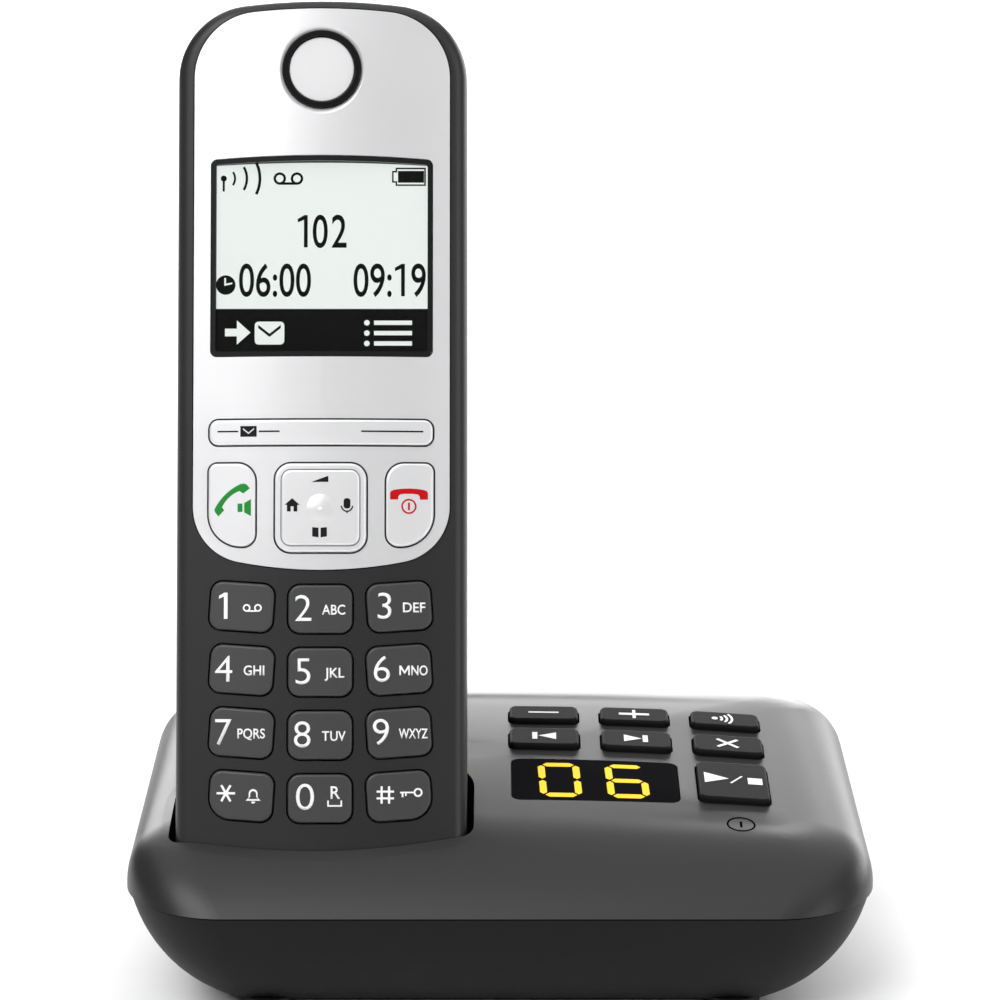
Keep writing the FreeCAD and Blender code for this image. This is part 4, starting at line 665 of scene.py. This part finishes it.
def finishes_of_slots(tones):
    """Material slot of the CAD pieces to its finish."""
    metal = {"metallic": 1.0}
    return {
        "dark_shell": moulded("Charcoal shell", tones.charcoal, 0.38, specular_ior_level=0.36),
        "black_shell": moulded("Graphite shell", tones.graphite, 0.5, grain=0.3, specular_ior_level=0.18),
        "rubber_foot": moulded("Rubber", (0.02, 0.02, 0.02), 0.85, depth=0.02, amount=0.15),
        "silicone_mat": moulded("Silicone", (0.3, 0.3, 0.31), 0.6, grain=0.6),
        "screw_steel": moulded("Plated steel", (0.55, 0.55, 0.54), 0.32, depth=0.002, **metal),
        "board_laminate": laminate(),
        "counter_window": moulded(
            "Smoked window", (0.006, 0.006, 0.007), 0.08,
            depth=0.0002, drift=0.03, amount=0.1, specular_ior_level=0.05,
        ),
        "lamp_block": moulded("Lamp block", (0.03, 0.03, 0.03), 0.6),
        "speaker_steel": moulded("Pressed steel", (0.4, 0.4, 0.4), 0.4, grain=0.8, **metal),
        "contact_gold": moulded(
            "Plated contact", (0.85, 0.62, 0.28), 0.25, depth=0.002, rubbed=1.1, **metal
        ),
        "contact_spring_steel": moulded("Spring steel", (0.6, 0.6, 0.6), 0.3, depth=0.002, **metal),
        "cell_can": moulded("Cell sleeve", (0.05, 0.22, 0.1), 0.3, depth=0.001, coat_weight=0.3),
        "silver_plate": moulded(
            "Satin silver", tones.silver, 0.34, grain=0.12, depth=0.0015, rubbed=1.05, metallic=0.45
        ),
        "clear_lens": clear_lens(),
        "lcd_glass": screen_panel(tones.screen_pale),
        "black_ring": moulded(
            "Black trim", (0.003, 0.003, 0.003), 0.3, depth=0.0005, amount=0.1, specular_ior_level=0.2
        ),
        "silver_key": moulded(
            "Silver key", tones.silver_keys, 0.32, grain=0.12, depth=0.001, rubbed=1.05, metallic=0.35
        ),
        "dark_key": moulded("Key charcoal", tones.key_charcoal, 0.44, grain=0.25, depth=0.003),
        "console_key": moulded(
            "Console black", tones.console_black, 0.45, grain=0.25, depth=0.002, specular_ior_level=0.02
        ),
    }


def print_finish(name, tone, rough=0.5, **sockets):
    """Ink or lamp colour with a slightly uneven cover; made once and shared."""
    found = bpy.data.materials.get(name)
    if found:
        return found
    return moulded(
        name, tone, rough, grain=0.08, depth=0.0008, drift=0.08, rubbed=1.05, amount=0.1, **sockets
    )


def white_print():
    return print_finish("White print", bpy.context.scene.telephone_colours.print_white)


def black_print():
    tone = bpy.context.scene.telephone_colours.print_black
    return print_finish("Black print", tone, specular_ior_level=0.15)


# ---------------------------------------------------------------- operators

class TelephoneOperator(bpy.types.Operator):
    """Base of the telephone's operators"""
    bl_options = {"REGISTER", "UNDO"}


class TELEPHONE_OT_finish_pieces(TelephoneOperator):
    """Give each piece of the model the finish of its material slot"""
    bl_idname = "telephone.finish_pieces"
    bl_label = "Finish the pieces"

    def execute(self, context):
        finishes = finishes_of_slots(context.scene.telephone_colours)
        for node in frame["nodes"].values():
            for place in node.material_slots:
                place.material = finishes[place.material.name]
        return {"FINISHED"}


# Key, digit and its place across; letters, their place across and their width, in millimetres.
DIGIT_SIGNS = (
    ("key_two", "2", -2.85, "ABC", 2.3, 3.9),
    ("key_three", "3", -2.4, "DEF", 2.45, 3.75),
    ("key_four", "4", -2.95, "GHI", 2.15, 3.5),
    ("key_five", "5", -2.8, "JKL", 2.5, 3.3),
    ("key_six", "6", -2.9, "MNO", 2.4, 4.7),
    ("key_seven", "7", -3.15, "PQRS", 1.65, 4.65),
    ("key_eight", "8", -2.95, "TUV", 2.3, 3.9),
    ("key_nine", "9", -3.0, "WXYZ", 2.4, 4.85),
)
# Letter to its outline, its share of the word's width and the share of the letters after it.
DRAWN_LETTERS = {"M": (letter_m, 0.37, 0.58), "T": (letter_t, 0.31, 0.66)}
# Place of the 1, rows of the digits and the letters, width of a digit, and changes of weight.
ONE_ACROSS = -3.0
DIGIT_ALONG = 0.18
LETTERS_ALONG = -0.1
DIGIT_STRETCH = 1.03
THINNER = -0.04 * MM
BOLDER = 0.035 * MM
SCREEN_BOLDER = 0.06 * MM


def tape_outlines(x, y, radius, spacing, line):
    """Two reels joined by a line below: the sign of recorded messages."""
    reels = [ring_outlines(x + side * spacing / 2, y, radius, line, 20) for side in (-1, 1)]
    return reels + [[box_outline(x, y - radius, spacing, line)]]


def bell_outline(x, y, scale):
    """Filled bell with a flared mouth."""
    crown = arc_points(x, y + 0.2 * scale, 0.62 * scale, 0, 180, 10)
    return crown + [
        (x - 0.62 * scale, y - 0.35 * scale),
        (x - 1.05 * scale, y - 0.8 * scale),
        (x + 1.05 * scale, y - 0.8 * scale),
        (x + 0.62 * scale, y - 0.35 * scale),
    ]


class TELEPHONE_OT_digit_signs(TelephoneOperator):
    """Print digits, letters and small signs on the dialling keys"""
    bl_idname = "telephone.digit_signs"
    bl_label = "Dialling key signs"

    def execute(self, context):
        signs = context.scene.telephone_signs
        digit, letter, line = signs.digit_height / MM, signs.letter_height / MM, signs.fine_line / MM
        for node, figure, figure_x, letters, letters_x, wide in DIGIT_SIGNS:
            shapes = [words(figure, digit, figure_x, DIGIT_ALONG, DIGIT_STRETCH, THINNER)]
            if letters[0] in DRAWN_LETTERS:
                draw, first, rest = DRAWN_LETTERS[letters[0]]
                first_x = letters_x - wide * (1 - first) / 2
                shapes.append(draw(first_x, LETTERS_ALONG, first * wide, letter, 0.16 * letter))
                letters, letters_x, wide = letters[1:], letters_x + wide * (1 - rest) / 2, rest * wide
            shapes.append(words(letters, letter, letters_x, LETTERS_ALONG, 1.0, BOLDER, wide))
            self.press(shapes, node)
        tape = tape_outlines(1.8, -0.2, 0.52, 1.9, line)
        one = [figure_one(digit, ONE_ACROSS, DIGIT_ALONG, 0.14)] + [flat(*outlines) for outlines in tape]
        self.press(one, "key_one")
        bell = bell_outline(2.0, 0.2, 1.2)
        inner_bell = bell_outline(2.0, 0.17, 0.82)
        clapper = arc_outline(2.0, -0.9, 0.17, 0.34, 180, 360, 8)
        star = [flat(star_outline(-2.6, 0.47, 1.55, 0.38)), flat(bell, inner_bell), flat(clapper)]
        self.press(star, "key_star")
        zero = [
            words("0", digit, -2.45, 0.33, 1.12, THINNER),
            words("R", 2.06, 2.49, 1.03, 0.95, BOLDER),
            flat(self.bracket(2.5, -0.82, 2.47, 1.03, line)),
        ]
        self.press(zero, "key_zero")
        hash_key = [flat(box_outline(-2.2 + side * 0.62, 0.2, 0.36, 2.9)) for side in (-1, 1)]
        hash_key += [flat(box_outline(-2.2, 0.2 + side * 0.56, 2.9, 0.34)) for side in (-1, 1)]
        hash_key.append(flat(*ring_outlines(3.25, 0.6, 0.6, 0.3, 20)))
        hash_key.append(flat(self.key_bit(0.25, 0.6, 2.35, line)))
        self.press(hash_key, "key_hash")
        return {"FINISHED"}

    @staticmethod
    def press(shapes, node):
        laid(shapes, "sign_" + node, node, top_of(node, HANDSET), white_print(), bands=(2 * MM, None))

    @staticmethod
    def bracket(x, y, wide, tall, line):
        """Open box with its top left off, the sign of a blank space."""
        left, right = x - wide / 2, x + wide / 2
        low, high = y - tall / 2, y + tall / 2
        outer = [(left, high), (left, low), (right, low), (right, high)]
        left, right, low = left + line, right - line, low + line
        return outer + [(right, high), (right, low), (left, low), (left, high)]

    @staticmethod
    def key_bit(x, y, reach, line):
        """Shank of a door key with two teeth, each given by its start, end and depth in line widths."""
        half = line / 2
        outline = [(x, y + half), (x, y - half)]
        for start, end, depth in ((1.0, 2.2, 3.0), (3.2, 4.2, 2.2)):
            left, right, low = x + start * line, x + end * line, y - depth * line
            outline += [(left, y - half), (left, low), (right, low), (right, y - half)]
        return outline + [(x + reach, y - half), (x + reach, y + half)]


class TELEPHONE_OT_call_signs(TelephoneOperator):
    """Print the green and red receivers on the talk and end keys"""
    bl_idname = "telephone.call_signs"
    bl_label = "Call signs"

    def execute(self, context):
        tones = context.scene.telephone_colours
        green = print_finish("Green print", tones.call_green, 0.4, specular_ior_level=0.2)
        red = print_finish("Red print", tones.end_red, 0.4, specular_ior_level=0.2)
        receiver = arc_through((-2.93, -0.76), (-0.86, 1.97), (1.48, 3.5), 14)
        receiver += [(1.98, 3.58), (2.49, 3.44), (3.08, 2.77), (1.94, 1.92)]
        receiver += arc_through((1.29, 2.33), (-0.45, 1.25), (-1.64, -0.39), 12)
        receiver += [(-1.28, -0.89), (-2.24, -1.91), (-2.83, -1.22)]
        sound_box = box_outline(1.41, -0.48, 0.82, 1.4)
        horn = [(2.12, -1.26), (3.25, -1.9), (3.25, 0.96), (2.12, 0.3)]
        shapes = [flat(outline) for outline in (receiver, sound_box, horn)]
        laid(shapes, "sign_talk_key", "talk_key", top_of("talk_key", HANDSET), green, bands=(1.5 * MM, None))
        half = [
            (0, 2.76), (1.35, 2.7), (2.5, 2.52), (2.97, 2.35), (3.17, 2.0), (3.17, 0.9),
            (1.83, 0.9), (1.78, 1.45), (1.5, 1.75), (0.75, 1.86), (0, 1.88),
        ]
        hung_up = half + [(-x, y) for x, y in reversed(half[1:-1])]
        hung_up = [(x - 0.13, y) for x, y in hung_up]
        ring = ring_outlines(-0.14, -0.25, 1.14, 0.28, 28)
        bar = box_outline(-0.14, -0.25, 0.32, 1.28)
        shapes = [flat(hung_up), flat(*ring), flat(bar)]
        laid(shapes, "sign_end_key", "end_key", top_of("end_key", HANDSET), red, bands=(1.5 * MM, None))
        return {"FINISHED"}


class TELEPHONE_OT_soft_key_signs(TelephoneOperator):
    """Print the lines and the envelope on the soft key bar"""
    bl_idname = "telephone.soft_key_signs"
    bl_label = "Soft key signs"

    def execute(self, context):
        line = context.scene.telephone_signs.fine_line / MM
        envelope = box_outline(-12.15, 0.15, 2.75, 1.8)
        fold = chevron_outline(-12.15, 0.35, 1.9, 0.75, 0.26)
        shapes = [
            flat(box_outline(-15.65, 0.15, 3.5, line)),
            flat(envelope, fold),
            flat(box_outline(-8.65, 0.15, 3.5, line)),
            flat(box_outline(12.0, 0.15, 10.4, line)),
        ]
        place = top_of("soft_key_bar", HANDSET)
        laid(shapes, "sign_soft_key_bar", "soft_key_bar", place, black_print(), bands=(1.2 * MM, None))
        return {"FINISHED"}


class TELEPHONE_OT_control_signs(TelephoneOperator):
    """Print the wedge, house, microphone and book on the four-way key"""
    bl_idname = "telephone.control_signs"
    bl_label = "Four-way key signs"

    def execute(self, context):
        wedge = [(-1.47, 4.3), (1.33, 4.3), (1.33, 5.32)]
        house = [
            (-5.6, -0.66), (-4.98, -0.66), (-4.98, 0.2), (-4.48, 0.2), (-4.48, -0.66), (-3.86, -0.66),
            (-3.86, 0.45), (-3.47, 0.45), (-4.73, 1.56), (-5.99, 0.45), (-5.6, 0.45),
        ]
        capsule = rounded_outline(4.47, 0.7, 1.12, 1.72, 0.45)
        cradle = arc_outline(4.47, 0.3, 0.93, 0.22, 180, 360, 12)
        stand = box_outline(4.47, -0.8, 0.22, 0.3)
        left_page = [(-1.35, -4.85), (-0.3, -5.0), (-0.3, -3.4), (-1.35, -3.3)]
        right_page = [(-0.24 - x, y) for x, y in left_page]
        outlines = (wedge, house, capsule, cradle, stand, left_page, right_page)
        shapes = [flat(outline) for outline in outlines]
        place = top_of("control_key", HANDSET)
        laid(shapes, "sign_control_key", "control_key", place, black_print(), bands=(1.5 * MM, None))
        return {"FINISHED"}


# Rows of the handset's picture, in millimetres above its foot.
STATUS_ROW, NUMBER_ROW, CLOCK_ROW, MENU_ROW = 125.2, 116.25, 107.95, 98.95
# Width of the picture's digits, stroke of its ones, and how far the picture stands out.
SCREEN_STRETCH = 0.7
SCREEN_STROKE = 0.115
SCREEN_RISE = 0.02 * MM


class TELEPHONE_OT_screen(TelephoneOperator):
    """Draw the handset's idle picture: status signs, an internal number, two clocks and a band of signs"""
    bl_idname = "telephone.screen"
    bl_label = "Screen picture"

    def execute(self, context):
        signs = context.scene.telephone_signs
        tones = context.scene.telephone_colours
        ink = print_finish("Screen ink", tones.screen_ink, 0.4, specular_ior_level=0.0)
        digit = signs.screen_digit / MM
        highest = local_box("lcd_panel", HANDSET)[1]
        place = HANDSET @ Matrix.Translation((0, 0, highest.z + 0.01 * MM))
        mast = -16.6
        status = [
            flat(circle_outline(mast, STATUS_ROW, 0.52, 16)),
            flat(box_outline(mast, STATUS_ROW - 1.25, 0.36, 1.9)),
        ]
        for radius, reach in ((1.9, 36), (3.9, 30), (6.1, 26)):
            wave_line = 0.3 + radius * 0.03
            status.append(flat(arc_outline(mast, STATUS_ROW, radius, wave_line, -reach, reach, 10)))
        for outlines in tape_outlines(-5.7, STATUS_ROW, 0.85, 2.9, 0.42):
            status.append(flat(*outlines))
        battery = [
            (11.8, 124.5), (12.4, 124.5), (12.4, 123.95), (17.5, 123.95),
            (17.5, 127.05), (12.4, 127.05), (12.4, 126.5), (11.8, 126.5),
        ]
        line, middle_x, middle_y = signs.fine_line / MM, 15.0, 125.5
        hollow = [
            (x + (line if x < middle_x else -line), y + (line if y < middle_y else -line))
            for x, y in battery
        ]
        status.append(flat(battery, hollow))
        status.append(flat(box_outline(middle_x, middle_y, 4.4, 2.0)))
        number = [
            figure_one(digit, -3.05, NUMBER_ROW, SCREEN_STROKE),
            words("0", digit, -0.3, NUMBER_ROW, SCREEN_STRETCH, SCREEN_BOLDER),
            words("2", digit, 2.9, NUMBER_ROW, SCREEN_STRETCH, SCREEN_BOLDER),
        ]
        hands = [
            (-16.45, 108.3), (-16.15, 108.3), (-16.15, 107.35), (-15.1, 107.55),
            (-15.1, 107.25), (-16.45, 106.95),
        ]
        clock = [
            flat(circle_outline(-16.2, 107.1, 1.65, 28), hands),
            words("06:00", digit, -7.9, CLOCK_ROW, SCREEN_STRETCH, SCREEN_BOLDER),
            words("09:", digit, 8.6, CLOCK_ROW, SCREEN_STRETCH, SCREEN_BOLDER),
            figure_one(digit, 13.35, CLOCK_ROW, SCREEN_STROKE),
            words("9", digit, 16.3, CLOCK_ROW, SCREEN_STRETCH, SCREEN_BOLDER),
        ]
        laid(status + number + clock, "screen_picture", "lcd_panel", place, ink, rise=SCREEN_RISE)
        arrow = [
            (-16.3, 98.4), (-16.3, 99.7), (-14.3, 99.7), (-14.3, 101.1),
            (-12.0, 99.05), (-14.3, 97.0), (-14.3, 98.4),
        ]
        band = [
            box_outline(0, MENU_ROW - 0.05, 37.0, 8.3),
            arrow,
            rounded_outline(-8.8, MENU_ROW, 5.0, 3.9, 0.7),
            chevron_outline(-8.8, MENU_ROW + 0.65, 3.8, 1.5, 0.55),
        ]
        for step in (-1, 0, 1):
            row = MENU_ROW + 1.75 * step
            band += [box_outline(12.0, row, 6.4, 0.75), circle_outline(7.6, row, 0.48, 14)]
        laid([flat(*band)], "screen_band", "lcd_panel", place, ink, rise=SCREEN_RISE)
        return {"FINISHED"}


class TELEPHONE_OT_lens_border(TelephoneOperator):
    """Print the black border on the handset's lens"""
    bl_idname = "telephone.lens_border"
    bl_label = "Lens border"

    def execute(self, context):
        low, high = local_box("display_lens", HANDSET)
        middle = (low + high) / (2 * MM)
        wide, tall = (high.x - low.x) / MM, (high.y - low.y) / MM
        inset, border, corner = 0.1, 0.8, 1.0
        outer = self.arched(rounded_outline(0, 0, wide - 2 * inset, tall - 2 * inset, corner))
        inner = self.arched(rounded_outline(0, 0, wide - 2 * border, tall - 2 * border, corner / 2))
        shape = flat(outer, inner)
        place = HANDSET @ Matrix.Translation((middle.x * MM, middle.y * MM, high.z + ABOVE))
        piece = laid([shape], "lens_border", "display_lens", place, black_print(), bands=(1.2 * MM, None))
        return {"FINISHED"}

    @staticmethod
    def arched(outline):
        """Bend the top edge of a rounded rectangle to the lens's arch; its first quarter is top right."""
        radius, steps = 285.0, 12
        quarter = len(outline) // 4
        start, end = outline[quarter - 1], outline[quarter]
        edge = [(start[0] + (end[0] - start[0]) * step / steps, start[1]) for step in range(1, steps)]
        points = outline[:quarter] + edge + outline[quarter:]
        return [(x, y - x * x / (2 * radius) if y > 0 else y) for x, y in points]


SEGMENTS_LIT = {"0": "abcdef", "6": "acdefg"}


def segment_outline(start, end, stroke):
    """Lit bar with pointed ends."""
    along = Vector((end[0] - start[0], end[1] - start[1])).normalized()
    across = along.orthogonal() * (stroke / 2)
    point = along * (stroke / 2)
    first, last = Vector(start), Vector(end)
    corners = (
        first,
        first + point + across,
        last - point + across,
        last,
        last - point - across,
        first + point - across,
    )
    return [(corner.x, corner.y) for corner in corners]


def counter_digit(figure, x, y, wide, tall, stroke, bar):
    """Seven-segment digit, leaning a little, as a list of flat bars between the corners of two boxes."""
    left, right = x - wide / 2 + stroke / 2, x + wide / 2 - stroke / 2
    low, high = y - tall / 2 + bar / 2, y + tall / 2 - bar / 2
    ends = {
        "a": ((left, high), (right, high)),
        "b": ((right, high), (right, y)),
        "c": ((right, y), (right, low)),
        "d": ((right, low), (left, low)),
        "e": ((left, low), (left, y)),
        "f": ((left, y), (left, high)),
        "g": ((left, y), (right, y)),
    }
    apart, slant = 0.28, 0.035
    bars = []
    for name in SEGMENTS_LIT[figure]:
        start, end = (Vector(corner) for corner in ends[name])
        step = (end - start).normalized() * apart
        thick = bar if name in "adg" else stroke
        outline = segment_outline(start + step, end - step, thick)
        bars.append(flat([(across - slant * along, along) for across, along in outline]))
    return bars


class TELEPHONE_OT_counter(TelephoneOperator):
    """Light the two digits of the message counter behind the base's window"""
    bl_idname = "telephone.counter"
    bl_label = "Message counter"

    def execute(self, context):
        signs = context.scene.telephone_signs
        amber = context.scene.telephone_colours.lamp_amber
        glow = {"emission_color": opaque(amber), "emission_strength": 0.55}
        lamp = print_finish("Lamp amber", amber, 0.5, specular_ior_level=0.1, **glow)
        tall, wide = signs.counter_height / MM, signs.counter_width / MM
        stroke, bar = signs.counter_stroke / MM, signs.counter_bar / MM
        digits = counter_digit("0", -6.1, -0.2, wide, tall, stroke, bar)
        digits += counter_digit("6", 5.5, -0.2, wide, tall, stroke, bar)
        place = top_of("base_display_window", CONSOLE)
        laid(digits, "counter_digits", "base_display_window", place, lamp, bands=CROWN_BANDS)
        return {"FINISHED"}


class TELEPHONE_OT_console_signs(TelephoneOperator):
    """Print the answering machine's signs on the keys of the base"""
    bl_idname = "telephone.console_signs"
    bl_label = "Base key signs"

    def execute(self, context):
        plus = self.cross_outline(2.7, 1.7, 0.28, 0.4)
        delete = self.turned(self.cross_outline(2.2, 2.2, 0.28, 0.28), 45, 1.15, 1.0)
        waves = [circle_outline(-1.7, 0, 0.55, 18)]
        for radius in (1.3, 2.2, 3.1):
            waves.append(arc_outline(-1.7, 0, radius, 0.42, -38, 38, 10))
        triangle = [(-2.1, 2.0), (2.1, 0.0), (-2.1, -2.0)]
        signs = {
            "key_volume_down": [box_outline(0, 0, 5.4, 0.5)],
            "key_volume_up": [plus],
            "key_paging": waves,
            "key_previous": [box_outline(-1.65, 0, 0.9, 2.7), [(2.1, 1.35), (-1.0, 0.0), (2.1, -1.35)]],
            "key_next": [[(-2.1, 1.35), (1.0, 0.0), (-2.1, -1.35)], box_outline(1.65, 0, 0.9, 2.7)],
            "key_delete": [delete],
            "key_play_stop": [
                [(x - 2.75, y + 0.5) for x, y in triangle],
                line_outline((-0.35, -1.2), (1.7, 1.7), 0.32),
                box_outline(3.9, 0.0, 2.5, 2.4),
            ],
        }
        for node, outlines in signs.items():
            shapes = [flat(outline) for outline in outlines]
            laid(shapes, "sign_" + node, node, top_of(node, CONSOLE), white_print(), bands=CROWN_BANDS)
        return {"FINISHED"}

    @staticmethod
    def cross_outline(reach_x, reach_y, half_x, half_y):
        """Upright cross: arms reach out from the middle, half_x and half_y are their half widths."""
        return [
            (half_x, half_y), (half_x, reach_y), (-half_x, reach_y), (-half_x, half_y),
            (-reach_x, half_y), (-reach_x, -half_y), (-half_x, -half_y), (-half_x, -reach_y),
            (half_x, -reach_y), (half_x, -half_y), (reach_x, -half_y), (reach_x, half_y),
        ]

    @staticmethod
    def turned(outline, degrees, wide, tall):
        turn = Matrix.Rotation(math.radians(degrees), 2)
        points = [turn @ Vector(point) for point in outline]
        return [(point.x * wide, point.y * tall) for point in points]


class TELEPHONE_OT_power_sign(TelephoneOperator):
    """Print the dark power sign on the base below the play key"""
    bl_idname = "telephone.power_sign"
    bl_label = "Power sign"

    def execute(self, context):
        outlines = [ring_outlines(0, 0, 2.3, 0.32, 36), [box_outline(0, 0, 0.42, 2.0)]]
        shapes = [flat(*group) for group in outlines]
        place = CONSOLE @ Matrix.Translation(Vector((40.75, -25.9, 6.0)) * MM)
        matt = print_finish("Matt black print", (0.002, 0.002, 0.002), 0.9, specular_ior_level=0.0)
        laid(shapes, "sign_power", "base_top_housing", place, matt, bands=CROWN_BANDS)
        return {"FINISHED"}


class TELEPHONE_OT_stage(TelephoneOperator):
    """Set up the pale floor, the soft lights and the camera"""
    bl_idname = "telephone.stage"
    bl_label = "Stage"

    def execute(self, context):
        stage = context.scene.telephone_stage
        self.floor(context, stage)
        self.room(context, stage)
        self.camera(context, stage)
        context.scene.view_settings.view_transform = "Standard"
        middle = Vector((0, 0, stage.target_height))
        lights = (
            ("Sky light", (0.0, 0.5, 1.9), Vector((0.0, 0.5, 0.0)), 3.2, 3.2, stage.sky_light),
            ("Key light", (-0.72, -0.98, 1.35), middle, 1.1, 1.1, stage.key_light),
            ("Fill light", (1.0, -0.75, 0.5), middle, 0.7, 0.9, stage.fill_light),
            ("Back light", (-0.2, 2.2, 0.6), middle, 1.9, 1.0, stage.back_light),
            ("Rim light", (1.6, 1.7, 0.52), middle, 1.9, 1.0, stage.rim_light),
        )
        for name, place, aim, wide, tall, energy in lights:
            self.light(name, Vector(place), aim, wide, tall, energy)
        return {"FINISHED"}

    @staticmethod
    def floor(context, stage):
        bpy.ops.object.select_all(action="DESELECT")
        bpy.ops.mesh.primitive_plane_add(size=stage.floor_size)
        floor = context.object
        floor.name = "floor"
        tone = context.scene.telephone_colours.floor
        floor.data.materials.append(moulded("Pale table", tone, 0.7, grain=1.5, depth=0.003, amount=0.0))
        floor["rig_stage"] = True

    @staticmethod
    def room(context, stage):
        world = bpy.data.worlds.new("White room")
        world.use_nodes = True
        backdrop = world.node_tree.nodes["Background"]
        backdrop.inputs["Color"].default_value = (1, 1, 1, 1)
        backdrop.inputs["Strength"].default_value = stage.surround
        context.scene.world = world

    @staticmethod
    def camera(context, stage):
        lens = bpy.data.cameras.new("Camera")
        lens.lens = stage.focal_length
        camera = bpy.data.objects.new("Camera", lens)
        context.scene.collection.objects.link(camera)
        away = Vector((0, -math.cos(stage.elevation), math.sin(stage.elevation)))
        camera.location = Vector((0, stage.target_depth, stage.target_height)) + away * stage.distance
        camera.rotation_euler = (math.pi / 2 - stage.elevation, 0, 0)
        context.scene.camera = camera

    @staticmethod
    def light(name, place, target, wide, tall, energy):
        bpy.ops.object.select_all(action="DESELECT")
        bpy.ops.object.light_add(type="AREA", location=place)
        lamp = bpy.context.object
        lamp.name = name
        lamp.data.shape = "RECTANGLE"
        lamp.data.size = wide
        lamp.data.size_y = tall
        lamp.data.energy = energy
        lamp.rotation_euler = (target - place).to_track_quat("-Z", "Y").to_euler()


class TELEPHONE_PT_looks(bpy.types.Panel):
    """Steps that dress the telephone"""
    bl_label = "Telephone"
    bl_space_type = "VIEW_3D"
    bl_region_type = "UI"
    bl_category = "Telephone"

    def draw(self, context):
        for operator in STEPS:
            self.layout.operator(operator.bl_idname)
        for name in ("telephone_colours", "telephone_signs", "telephone_stage"):
            group = getattr(context.scene, name)
            for key in group.__annotations__:
                self.layout.prop(group, key)


STEPS = (
    TELEPHONE_OT_finish_pieces,
    TELEPHONE_OT_digit_signs,
    TELEPHONE_OT_call_signs,
    TELEPHONE_OT_soft_key_signs,
    TELEPHONE_OT_control_signs,
    TELEPHONE_OT_screen,
    TELEPHONE_OT_lens_border,
    TELEPHONE_OT_counter,
    TELEPHONE_OT_console_signs,
    TELEPHONE_OT_power_sign,
    TELEPHONE_OT_stage,
)
GROUPS = (
    ("telephone_colours", TelephoneColours),
    ("telephone_signs", TelephoneSigns),
    ("telephone_stage", TelephoneStage),
)


def register():
    for name, group in GROUPS:
        bpy.utils.register_class(group)
        setattr(bpy.types.Scene, name, bpy.props.PointerProperty(type=group))
    for operator in STEPS:
        bpy.utils.register_class(operator)
    bpy.utils.register_class(TELEPHONE_PT_looks)


def unregister():
    bpy.utils.unregister_class(TELEPHONE_PT_looks)
    for operator in reversed(STEPS):
        bpy.utils.unregister_class(operator)
    for name, group in reversed(GROUPS):
        delattr(bpy.types.Scene, name)
        bpy.utils.unregister_class(group)


def main():
    register()
    for operator in STEPS:
        group, name = operator.bl_idname.split(".")
        getattr(getattr(bpy.ops, group), name)()
    boxes = {"cad": CAD_BOX, "visual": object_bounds()}
    {key: [list(corner) for corner in box] for key, box in boxes.items()}


if __name__ == "__main__":
    main()
